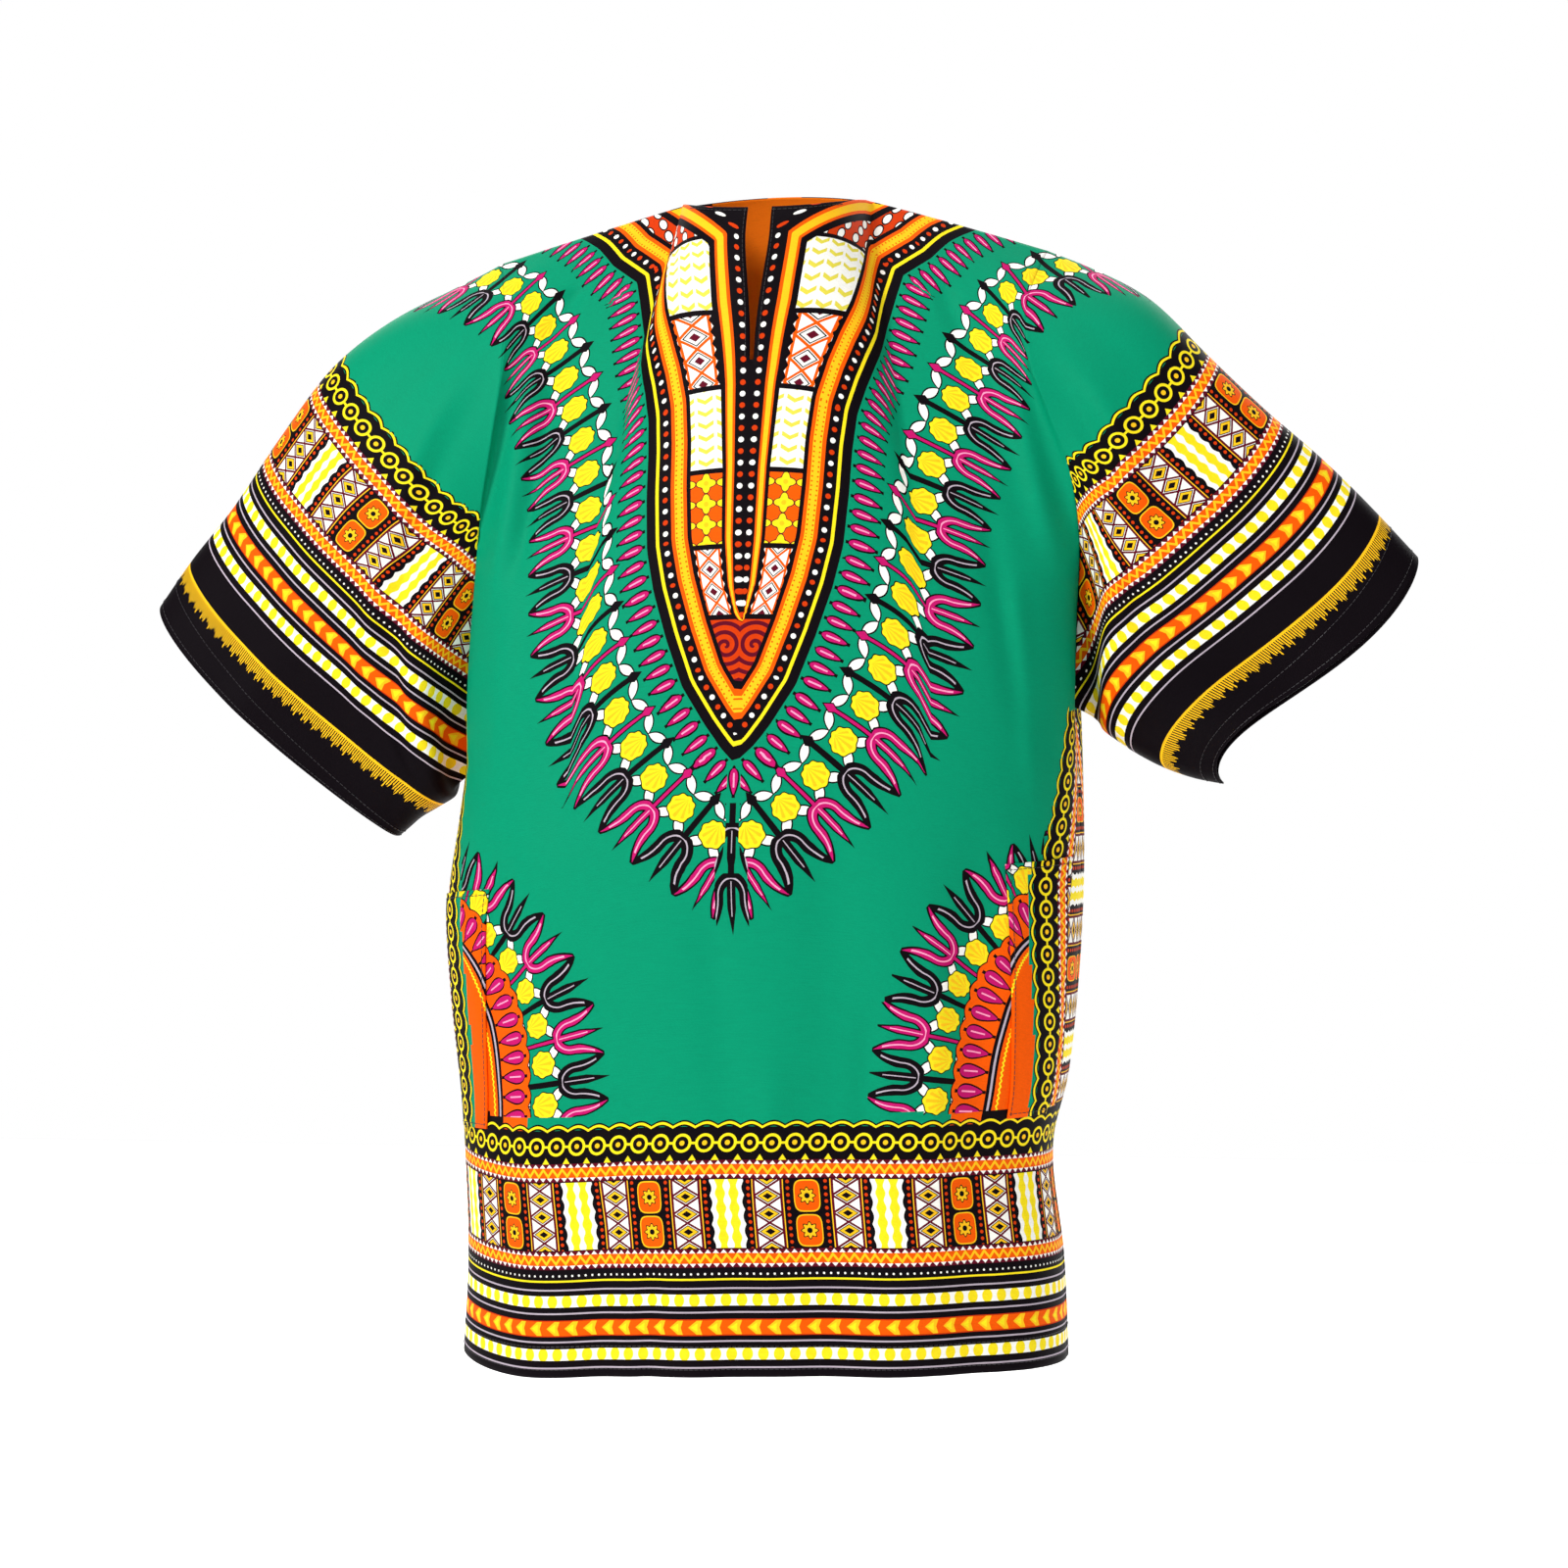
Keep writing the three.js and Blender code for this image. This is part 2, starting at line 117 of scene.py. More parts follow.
# Sleeve sections from the armhole to the cuff: top x and z, low x and z, depth in front and behind,
# how far the section has turned into an oval, and how far its middle is pushed along the sleeve.
SLEEVES = {
    "left": (
        (-190, -37, -206, -388, 60, 68, 0.00, 0, 0),
        (-232, -55, -212, -397, 66, 66, 0.45, 0, 0),
        (-270, -76, -219, -404, 66, 64, 0.85, 2, 0),
        (-308, -108, -227, -409, 60, 58, 1.00, 4, 0),
        (-344, -154, -237, -415, 52, 50, 1.00, 6, 1),
        (-378, -202, -247, -421, 44, 42, 1.00, 8, 2),
        (-408, -238, -255, -428, 38, 36, 1.00, 9, 3),
        (-432, -271, -262, -434, 35, 33, 1.00, 10, 3),
    ),
    "right": (
        (190, -37, 208, -346, 60, 68, 0.00, 0, 0),
        (224, -50, 215, -352, 66, 66, 0.45, 0, 0),
        (262, -72, 223, -359, 66, 64, 0.85, 0, 0),
        (298, -110, 235, -367, 60, 58, 1.00, 0, 2),
        (337, -148, 250, -377, 52, 50, 1.00, 0, 5),
        (373, -180, 269, -387, 44, 42, 1.00, 0, 8),
        (404, -211, 289, -394, 38, 36, 1.00, -1, 11),
        (437, -247, 309, -398, 35, 33, 1.00, -2, 13),
    ),
}
SLEEVE_SQUARENESS = 2.6
WAVE_SHAPE = 1.2

# Folds: x and z of the top, x and z of the foot, width, and height of a ridge (+) or trough (-).
FOLDS = {
    "front": (
        (-152, -90, -176, -240, 10, 8),
        (-176, -430, -160, -560, 14, -5),
        (-148, -560, -150, -800, 22, 4),
        (-95, -640, -100, -820, 18, -5),
        (-45, -600, -30, -820, 24, 5),
        (60, -330, 52, -820, 22, -4),
        (118, -420, 98, -820, 24, 4),
        (152, -400, 150, -820, 16, -5),
        (160, -86, 194, -220, 10, 8),
    ),
    "back": (
        (-158, -100, -180, -260, 11, 8),
        (-120, -420, -128, -820, 22, -5),
        (-60, -520, -62, -820, 26, 5),
        (10, -460, 4, -820, 24, -5),
        (82, -500, 88, -820, 26, 5),
        (140, -420, 146, -820, 20, -5),
        (160, -90, 186, -240, 11, 8),
    ),
}

# Creases, smaller than the folds and drawn by the same rule.
CREASES = {
    "front": (
        (-128, -52, -150, -96, 8, -2.5),
        (-140, -120, -158, -230, 6, -2.2),
        (-168, -250, -176, -380, 12, 2.5),
        (-120, -330, -128, -420, 16, -1.8),
        (-190, -470, -178, -560, 7, -1.8),
        (-25, -470, -12, -600, 12, -1.6),
        (20, -560, 16, -700, 10, 1.6),
        (84, -520, 76, -700, 9, -1.8),
        (128, -470, 124, -640, 9, 1.8),
        (150, -200, 178, -340, 9, -2.6),
        (172, -250, 186, -380, 7, 2.2),
        (116, -56, 140, -110, 8, -2.2),
        (-60, -690, -66, -830, 9, -1.8),
        (176, -560, 172, -760, 9, -1.8),
    ),
    "back": (
        (-140, -130, -160, -260, 8, -2.4),
        (140, -120, 168, -280, 8, -2.6),
        (-90, -300, -98, -480, 14, 2.0),
        (60, -260, 66, -470, 13, -2.0),
        (-30, -520, -26, -700, 11, -1.8),
        (110, -560, 118, -800, 11, -1.8),
        (-160, -520, -156, -740, 10, -2.0),
    ),
}

# Sleeve folds: place round the section at their start and end (0 top, 0.5 underarm), where they start
# and end along the sleeve, width, and height.
SLEEVE_FOLDS = {
    "left": (
        (0.10, 0.30, 0.02, 0.40, 0.035, 8),
        (0.16, 0.38, 0.05, 0.55, 0.030, -8),
        (0.30, 0.34, 0.45, 1.05, 0.050, -3),
        (0.80, 0.70, 0.05, 0.60, 0.040, -7),
    ),
    "right": (
        (0.10, 0.26, 0.02, 0.40, 0.035, 8),
        (0.17, 0.36, 0.05, 0.60, 0.030, -7),
        (0.37, 0.34, 0.40, 1.10, 0.045, 9),
        (0.29, 0.27, 0.45, 1.10, 0.040, -6),
        (0.80, 0.70, 0.05, 0.60, 0.040, -7),
    ),
}
SLEEVE_CREASES = {
    "left": (
        (0.06, 0.17, -0.05, 0.35, 0.016, -2.6),
        (0.20, 0.33, 0.10, 0.70, 0.018, 2.6),
        (0.13, 0.20, 0.30, 0.95, 0.024, -1.6),
        (0.24, 0.22, 0.60, 1.20, 0.022, 1.8),
        (0.40, 0.43, 0.20, 1.05, 0.020, -2.2),
        (0.88, 0.80, 0.05, 0.70, 0.022, -2.4),
        (0.74, 0.76, 0.40, 1.15, 0.024, 2.0),
    ),
    "right": (
        (0.05, 0.15, -0.05, 0.35, 0.016, -2.4),
        (0.12, 0.17, 0.25, 0.85, 0.022, -1.8),
        (0.21, 0.22, 0.50, 1.20, 0.020, 1.8),
        (0.42, 0.44, 0.20, 1.05, 0.020, -2.2),
        (0.88, 0.80, 0.05, 0.70, 0.022, -2.4),
        (0.66, 0.70, 0.40, 1.15, 0.024, 2.2),
    ),
}
# Creases are this much deeper than their rows say, so that they catch the light.
CREASE_DEPTH = 1.5

# How finely the cloth is modelled.
COLUMNS_EACH_SIDE = 72
CHEST_ROWS = 96
SKIRT_ROWS = 110
SLEEVE_ROWS = 84


# ---------------------------------------------------------------------------------------------
# The cut of the print, in millimetres on the flat cloth
# ---------------------------------------------------------------------------------------------

# The yoke's outer edge from its tip to its corner, and on up to the shoulder fold, as (across, down).
YOKE_EDGE = (
    (0, 448), (11, 437), (22, 422), (38, 396), (50, 363), (60, 330), (66, 301), (68.5, 264), (69.5, 233),
    (72, 206), (78, 182), (86, 158), (96, 132), (105, 104), (113, 80), (120, 61))
WING_EDGE = ((120, 61), (143, 40), (159, 20), (178, 0))
# The line along the middle of the blossoms round the yoke, as (across, down).
FRINGE_LINE = (
    (0, 502), (18, 490), (38, 472), (58, 448), (76, 419), (91, 384), (102, 347), (109, 309), (114, 272),
    (119, 237), (126, 205), (135, 177), (145, 151), (155, 128), (166, 106), (180, 84), (199, 60),
    (223, 34), (254, 0))
# How far out from the yoke's edge that line is drawn as lying.
FRINGE_LINE_DISTANCE = 44.0
# Inner edge of the yoke's blocks, as (down, across from the slit's edge).
BLOCK_EDGE = (
    (0, 33), (67, 32), (82, 31), (136, 28), (195, 20), (252, 16), (300, 14.5), (330, 11), (352, 4),
    (360, 0.2), (450, 0.2))
# How far the print leans to the left down the middle, as (down, across).
PRINT_LEAN = ((0, 0), (182, 0), (448, 6), (570, 0), (900, 0))
# The bands along the neck run straight from the slit's top to the shoulder: across and down shares,
# how far out they start, and their width.
NECK_SLANT = (0.707, 0.707, 58.0)
NECK_BAND = 28.0
# Where one block of the yoke ends and the next starts, going down.
BLOCK_SPLITS = (97, 149, 197, 254, 305, 352)
# The corner ornament's edge from the hem border up, as (across, up from the hem).
CORNER_EDGE = (
    (145, 160), (147, 188), (150, 214), (156, 238), (165, 260), (177, 277), (192, 289), (210, 297))
# The line along the cups of the tulips round the corner ornament, as (across, up from the hem).
CORNER_FRINGE_LINE = (
    (114, 160), (116, 194), (121, 228), (130, 256), (144, 280), (162, 300), (184, 316), (206, 324))
CORNER_FRINGE_DISTANCE = 63.0
# Height of the border, the side seam's border (distance from the front's middle, and its top over the
# hem), the sleeve border's distance from the cuff, and the share by which it is drawn out round the cuff.
BORDER_HEIGHT = 172.0
SIDE_BORDER_MIDDLE = 375.0
SIDE_BORDER_TOP = 440.0
SLEEVE_BORDER_SHIFT = 54.0
CUFF_STRETCH = 1.2
# A pocket piece's print lies this much higher than the front's.
POCKET_PRINT_RISE = 21.0
# How many of its last steps a line goes straight on past its ends.
LINE_REACH = 40
# Width of the bands inside the yoke's edge, and the yellow line that runs in them.
YOKE_BANDS = 31.0
YOKE_LINE = (-8.7, -6.4)
# How far down the neck's bands go, as a share of the neck's depth.
NECK_BAND_REACH = 1.9
# The upper blocks slope: where the slope ends going down, how long it takes to fade, and how steep it is.
BLOCK_SLOPE = {"end": 197, "fade": 100, "steepness": 0.39}
# The side border widens towards the underarm: from this height, over this height, by this share.
SIDE_FLARE = {"start": 300, "run": 200, "share": 0.2}

# The hem, side and cuff border, as heights over its edge and pitches along it.
BORDER_GROUND = 164.0
SCALLOP_LINE = 163.6
RING_LINE = 153.2
RING_PITCH = 15.0
BUDS = (141.0, 146.0)
RIBBONS = (129.8, 71.6)
RIBBON_HEIGHT = 12.0
BLOCK_ROWS = (84.2, 129.2)
BLOCK_PITCH = 106.0
DOT_LINE = 67.4
THIN_STRIPE = (63.2, 64.5)
GREY_LINES = (58.0, 42.4, 23.6, 6.4)
DABBED_STRIPES = ((46.6, 54.2), (11.4, 19.0))
ARROW_STRIPE = (27.2, 38.0)

# The blossoms and tulips: pitch along their line, and places out from the yoke's edge.
STEM_PITCH = 29.0
BLOSSOM = 43.0
BLOSSOM_LEAVES = ((29.0, 0.5), (54.0, -0.75))
CUP = 69.0
# The drops: pitch, then middle over the edge they stand on, half length and half width.
DROP_PITCH = 10.8
DROP = (12.0, 8.6, 2.5)
CORNER_DROP_PITCH = 13.7
CORNER_DROP = (13.0, 9.5, 4.0)
# Pitch of the dots in the yoke's bands.
DOT_PITCH = 7.8

# The weave: noise scale along and across a thread, the dye's darkest and lightest share, and the
# threads' height in metres.
SLUB = (0.07, 0.9)
SLUB_SHADE = (0.79, 1.21)
THREAD_HEIGHT = 0.0006

# How far each printed zone reaches past its own lines.
ZONE_REACH = {"sleeve_fringe": 46, "fringe": 64, "yoke": 2.5, "corner": 62, "corner_top": 380,
              "corner_inside": 60, "border": 2}
# Half widths of the orange strip down the back, inside and outside, and where it ends.
ORANGE_STRIP = {"orange_inside": 52, "plain_orange": 11}
ORANGE_STRIP_END = 300

# ---------------------------------------------------------------------------------------------
# Pockets, flat cuts and studio
# ---------------------------------------------------------------------------------------------

# A pocket piece's place as shares of the front's half width and of its length under the arms, how far its
# mouth slants, and how far it lies over the front.
POCKET = {"first_column": 6 / 11, "last_column": 9 / 11, "first_row": 3 / 11, "last_row": 7 / 11,
          "slant": 0.9, "lift": 1.6}
POCKET_ROWS = 41
POCKET_COLUMNS = 21

# Rows of the grid at which the hems and the cuffs are stitched, counted from the edge.
HEM_STITCH_ROWS = (2, 6)
CUFF_STITCH_ROWS = (2, 7)
# Pitch of the stitches as a share of their length, and how far the thread's middle lies over the cloth
# as a share of its thickness.
STITCH_PITCH = 1.35
THREAD_LIFT = 0.3

HEM_LEVEL = min(corner[2] for corner in CAD_BOX)
FLOOR_REACH = 5.0
SENSOR = 36.0
# Lamps: place, aim, width and height in metres, and power in watts.
LAMPS = {
    "key": ((-1.7, -2.2, 1.1), (0, 0, -0.35), (0.8, 0.8), 70),
    "fill": ((1.8, -2.4, 0.2), (0, 0, -0.4), (1.2, 1.4), 16),
    "top": ((0.0, -0.2, 2.4), (0, 0, -0.4), (1.6, 1.6), 26),
    "backdrop": ((0.0, 3.6, 2.2), (0, 3.4, HEM_LEVEL - 0.3), (6.0, 3.0), 300),
}


# ---------------------------------------------------------------------------------------------
# Shape of the cloth
# ---------------------------------------------------------------------------------------------

def mix(a, b, t):
    """From a (t = 0) to b (t = 1)."""
    return a + (b - a) * t


def ease(t):
    """A soft step from 0 to 1."""
    t = np.clip(t, 0, 1)
    return t * t * (3 - 2 * t)


def power(value, exponent):
    """A power that keeps the value's sign."""
    return np.sign(value) * np.abs(value) ** exponent


def read_table(rows, t):
    """Rows of a table read smoothly between its rows, at t from 0 to 1."""
    rows = np.array(rows, float)
    place = np.clip(np.asarray(t, float), 0, 1) * (len(rows) - 1)
    index = np.minimum(place.astype(int), len(rows) - 2)
    f = (place - index)[..., None]
    before, start = rows[np.maximum(index - 1, 0)], rows[index]
    end, after = rows[index + 1], rows[np.minimum(index + 2, len(rows) - 1)]
    rise, leave, arrive = end - start, (end - before) / 2, (after - start) / 2
    return (start + leave * f + (3 * rise - 2 * leave - arrive) * f ** 2
            + (leave + arrive - 2 * rise) * f ** 3)


def fold_height(folds, x, z):
    """How far the folds of a panel move its points out."""
    total = np.zeros_like(x)
    for top_x, top_z, foot_x, foot_z, width, height in folds:
        along = (top_z - z) / (top_z - foot_z)
        across = (x - mix(top_x, foot_x, along)) / width
        fade = ease(along / 0.3) * ease((1.4 - along) / 0.5)
        total += np.where((along > 0) & (along < 1.4), height * np.exp(-across ** 2) * fade, 0)
    return total


def sleeve_fold_height(folds, around, along):
    """How far the folds of a sleeve move one section's points out."""
    total = np.zeros_like(around)
    for around_from, around_to, start, end, width, height in folds:
        share = (along - start) / (end - start)
        if 0 < share < 1:
            across = (around - mix(around_from, around_to, share)) / width
            total += height * np.exp(-across ** 2) * math.sin(math.pi * share) ** 0.7
    return total


def top_edge(p, face):
    """The shoulder and neck line, at p from -1 to 1 across."""
    x = p * SHOULDER_HALF
    along = np.clip((np.abs(x) - NECK_HALF) / (SHOULDER_HALF - NECK_HALF), 0, 1)
    inward = np.sqrt(np.clip(1 - (x / NECK_HALF) ** 2, 0, 1))
    side = -1 if face == "front" else 1
    y = SHOULDER_Y + side * NECK_DEPTH[face] * inward
    z = np.where(np.abs(x) >= NECK_HALF, -SHOULDER_DROP * along ** 1.05, NECK_LIFT[face] * inward ** 1.5)
    return np.stack([x, y, z], -1)


def skirt_point(p, down, face):
    """A level section under the arms, at p across and down from 0 to 1."""
    level, middle, half, front, back = np.moveaxis(read_table(SKIRT, down), -1, 0)
    left, right = SEAMS["front", "left"][-1], SEAMS["front", "right"][-1]
    angle = p * math.pi / 2
    roundness = np.clip(np.cos(angle), 0, 1) ** (2 / SQUARENESS)
    x = middle + half * power(np.sin(angle), 2 / SQUARENESS)
    onto_seam = np.abs(p) ** 6 * (1 - down) ** 3
    share = (level - SKIRT[0][0]) / (1 - SKIRT[0][0])
    start = mix(left[2], right[2], (p + 1) / 2)
    y = front * -roundness if face == "front" else back * roundness
    dip = np.exp(-((p - HEM_DIP["middle"]) / HEM_DIP["width"]) ** 2) * (1 - p ** 8)
    drop = HEM_DIP["drop"] if face == "front" else 0
    return np.stack([
        mix(x, np.where(p < 0, left[0], right[0]), onto_seam),
        y + left[1] * (1 - down) * np.abs(p) ** 3,
        mix(start, -LENGTH, share) - drop * dip * down ** 3,
    ], -1)


def chest_curve(p, q, face, edge):
    """How a column falls from the shoulder line (q = 0) to the underarm (q = 1)."""
    side = -1 if face == "front" else 1
    top, foot = top_edge(p, face), skirt_point(p, np.zeros_like(p), face)
    out = side * mix(FALL["centre_out"], FALL["edge_out"], edge)
    down = -mix(FALL["centre_down"], FALL["edge_down"], edge)
    first = top + np.stack([np.zeros_like(p), out, down], -1)
    last = foot + np.array([0, 0, FALL["run"]])
    q = q[..., None]
    return ((1 - q) ** 3 * top + 3 * (1 - q) ** 2 * q * first
            + 3 * (1 - q) * q ** 2 * last + q ** 3 * foot)


def chest_point(p, q, face):
    """A point over the underarm, with the panel's sides drawn onto its sleeve seams."""
    point = chest_curve(p, q, face, np.abs(p) ** 1.5)
    own_side = chest_curve(np.where(p < 0, -1.0, 1.0), q, face, np.ones_like(p))
    left, right = read_table(SEAMS[face, "left"], q), read_table(SEAMS[face, "right"], q)
    seam = np.where((p < 0)[..., None], left, right)
    return point + (seam - own_side) * np.abs(p)[..., None] ** SEAM_REACH


def arcs(points, axis):
    """Distance along the cloth from the first row or column."""
    steps = np.linalg.norm(np.diff(points, axis=axis), axis=-1)
    start = np.zeros_like(np.take(steps, [0], axis=axis))
    return np.concatenate([start, np.cumsum(steps, axis=axis)], axis=axis)


class Sheet:
    """A grid of points with what the print needs to know at each of them, in millimetres.

    u is the way across from the centre line, v the way down from the shoulder fold, and h the way up
    from the hem or cuff, all measured along the cloth."""

    def __init__(self, points, u, v, h, closed, outside):
        self.points, self.u, self.v, self.h = points, u, v, h
        self.closed, self.outside = closed, outside
        self.open_column, self.open_rows = None, 0


def panel_sheet(face):
    """The front or the back, from the shoulder line to the hem."""
    half = np.arange(COLUMNS_EACH_SIDE + 1) / COLUMNS_EACH_SIDE
    half[0] = CENTRE
    across = np.concatenate([-half[::-1], half])
    p, q = np.meshgrid(across, np.arange(CHEST_ROWS + 1) / CHEST_ROWS)
    p_low, down = np.meshgrid(across, np.arange(1, SKIRT_ROWS + 1) / SKIRT_ROWS)
    points = np.concatenate([chest_point(p, q, face), skirt_point(p_low, down, face)])
    p = np.concatenate([p, p_low])
    side = -1 if face == "front" else 1
    folds = (fold_height(FOLDS[face], points[..., 0], points[..., 2])
             + CREASE_DEPTH * fold_height(CREASES[face], points[..., 0], points[..., 2]))
    points[..., 1] += side * folds * (1 - np.abs(p) ** 8)
    points[..., 0] += SWAY * (1 - p * p)
    u = arcs(points, 1)
    u = u - (u[:, COLUMNS_EACH_SIDE] + u[:, COLUMNS_EACH_SIDE + 1])[:, None] / 2
    if face == "front":
        share = np.arange(len(points)) / CHEST_ROWS / SLIT_SHARE
        opened = SLIT_HALF_WIDTH * ease(1.35 * (1 - share)) * (share < 1)
        near = np.clip(1 - np.abs(points[..., 0] - SWAY) / SLIT_SPREAD, 0, 1)
        points[..., 0] += np.sign(p) * opened[:, None] * near
    inward = np.sqrt(np.clip(1 - (across * SHOULDER_HALF / NECK_HALF) ** 2, 0, 1))
    neck = np.hypot(NECK_DEPTH[face] * inward, NECK_LIFT[face] * inward ** 1.5)
    v = neck[None] + arcs(points, 0)
    h = v[-1][None] - v
    sheet = Sheet(points, u, v, h, closed=False, outside=face == "front")
    if face == "front":
        sheet.open_column = COLUMNS_EACH_SIDE
        sheet.open_rows = int(CHEST_ROWS * SLIT_SHARE)
    return sheet


def sleeve_sheet(hand, front, back):
    """A sleeve, from its seam on the two panels to its cuff."""
    q = np.arange(CHEST_ROWS + 1) / CHEST_ROWS
    back_seam = read_table(SEAMS["back", hand], q[1:-1][::-1])
    loop = np.concatenate([read_table(SEAMS["front", hand], q), back_seam])
    around = np.arange(len(loop)) / len(loop)
    angle = around * 2 * math.pi
    depth = power(np.sin(angle), 2 / SLEEVE_SQUARENESS)
    from_top = 2 * np.minimum(around, 1 - around)
    mirror = 1 if hand == "right" else -1
    folds = SLEEVE_FOLDS[hand] + SLEEVE_CREASES[hand]
    rows = []
    start = None
    for along in np.arange(SLEEVE_ROWS + 1) / SLEEVE_ROWS:
        top_x, top_z, low_x, low_z, reach_front, reach_back, turned, bow, wave = read_table(
            SLEEVES[hand], along)
        middle = np.array([(top_x + low_x) / 2, 0, (top_z + low_z) / 2])
        start = middle if start is None else start
        half = np.array([(top_x - low_x) / 2, 0, (top_z - low_z) / 2])
        outward = np.array([half[2], 0, -half[0]]) / np.hypot(half[0], half[2]) * mirror
        reach = np.where(depth > 0, reach_front, reach_back)
        reach = reach + sleeve_fold_height(folds, around, along)
        oval = middle + half * np.cos(angle)[:, None]
        oval[:, 1] = -reach * depth + SHOULDER_Y * (1 - along)
        push = wave * np.sin(2 * math.pi * from_top ** WAVE_SHAPE) + bow * np.sin(math.pi * from_top)
        oval += outward * push[:, None]
        rows.append(mix(loop + middle - start, oval, np.clip(turned, 0, 1)))
    points = np.array(rows)
    edge = -1 if hand == "right" else 0
    seam_u = np.concatenate([front.u[:CHEST_ROWS + 1, edge], back.u[:CHEST_ROWS + 1, edge][1:-1][::-1]])
    seam_v = np.concatenate([front.v[:CHEST_ROWS + 1, edge], back.v[:CHEST_ROWS + 1, edge][1:-1][::-1]])
    out = arcs(points, 0)
    u = np.sign(seam_u) * (np.abs(seam_u) + out)
    v = np.broadcast_to(seam_v, u.shape).copy()
    return Sheet(points, u, v, out[-1][None] - out, closed=True, outside=hand == "left")


def even_line(points, sharp, spacing=2.0):
    """A table of points as one line of evenly spaced ones, straight between them or smooth."""
    points = np.array(points, float)
    t = np.linspace(0, 1, 12 * len(points))
    if sharp:
        rows = np.arange(len(points))
        fine = np.stack([np.interp(t * rows[-1], rows, points[:, i]) for i in (0, 1)], -1)
    else:
        fine = read_table(points, t)
    length = arcs(fine, 0)
    places = np.linspace(0, length[-1], int(length[-1] / spacing) + 1)
    return np.stack([np.interp(places, length, fine[:, i]) for i in (0, 1)], -1), places


def along_and_off(x, y, line, sharp=False):
    """For each place its nearest point's way along a line, and how far it is to the line's right."""
    points, places = even_line(line, sharp)
    start, step = points[:-1], np.diff(points, axis=0)
    reach = np.linalg.norm(step, axis=1)
    best = np.full(x.shape, 1e9)
    along, off = np.zeros(x.shape), np.zeros(x.shape)
    for (px, py), (dx, dy), length, place in zip(start, step, reach, places):
        low, high = (-LINE_REACH if place == 0 else 0), (LINE_REACH if place == places[-2] else 1)
        t = np.clip(((x - px) * dx + (y - py) * dy) / length ** 2, low, high)
        gap_x, gap_y = x - px - t * dx, y - py - t * dy
        gap = np.hypot(gap_x, gap_y)
        closer = gap < best
        best = np.where(closer, gap, best)
        along = np.where(closer, place + t * length, along)
        off = np.where(closer, np.sign(gap_y * dx - gap_x * dy) * gap, off)
    return along, off


def print_fields(sheet, cuff_arc=None):
    """Everything that the print reads, as named three-number fields."""
    down, up = sheet.v, sheet.h
    lean = np.interp(down, *np.array(PRINT_LEAN, float).T)
    across = np.abs(sheet.u + lean)
    yoke_along, yoke_off = along_and_off(across, down, YOKE_EDGE, sharp=True)
    wing_along, wing_off = along_and_off(across, down, WING_EDGE, sharp=True)
    wing = wing_off < yoke_off
    yoke_along = np.where(wing, wing_along + even_line(YOKE_EDGE, True)[1][-1], yoke_along)
    yoke_off = np.minimum(wing_off, yoke_off)
    fringe_along, fringe_off = along_and_off(across, down, FRINGE_LINE)
    corner_along, corner_off = along_and_off(across, up, CORNER_EDGE)
    petal_along, petal_off = along_and_off(across, up, CORNER_FRINGE_LINE)
    zero = np.zeros_like(across)
    tops, edges = np.array(BLOCK_EDGE, float).T
    inner = np.interp(down, tops, edges)
    by_neck = (across * NECK_SLANT[0] + down * NECK_SLANT[1] - NECK_SLANT[2]) / NECK_BAND
    by_neck = np.where(down < NECK_DEPTH["front"] * NECK_BAND_REACH, np.maximum(by_neck, 0), np.inf)
    slit = np.minimum(across / inner, by_neck)
    edge_u, edge_v = np.array((YOKE_EDGE + WING_EDGE[1:])[::-1], float).T
    outer = np.interp(down, edge_v, edge_u) - YOKE_BANDS
    slope = np.clip((BLOCK_SLOPE["end"] - down) / BLOCK_SLOPE["fade"], 0, 1) * BLOCK_SLOPE["steepness"]
    middle = (inner + outer) / 2
    flare = np.clip(up - SIDE_FLARE["start"], 0, SIDE_FLARE["run"]) * SIDE_FLARE["share"]
    fields = {
        "cut": (sheet.u + lean, down, up),
        "yoke": (yoke_along, yoke_off, zero),
        "slit": (slit, inner, zero),
        "blocks": (across - middle, down + across * slope, np.maximum((outer - inner) / 2, 1)),
        "fringe": (fringe_along, fringe_off + FRINGE_LINE_DISTANCE, zero),
        "corner": (corner_along, corner_off, zero),
        "corner_fringe": (petal_along, petal_off + CORNER_FRINGE_DISTANCE, zero),
        "hem_border": (sheet.u, up, zero),
        "side_border": (up, SIDE_BORDER_MIDDLE - across + flare, zero),
    }
    if cuff_arc is not None:
        fields["cuff_border"] = (np.broadcast_to(cuff_arc, up.shape), up - SLEEVE_BORDER_SHIFT, zero)
    return fields


# ---------------------------------------------------------------------------------------------
# Shirt properties
# ---------------------------------------------------------------------------------------------

def tone(code):
    """A colour written as six hexadecimal digits, as linear light."""
    parts = [int(code[i:i + 2], 16) / 255 for i in (0, 2, 4)]
    return tuple(c / 12.92 if c <= 0.04045 else ((c + 0.055) / 1.055) ** 2.4 for c in parts)


def colour_property(name, code, description):
    """A dye that a user can change."""
    return bpy.props.FloatVectorProperty(
        name=name, description=description, subtype="COLOR", size=3, min=0, max=1, default=tone(code))


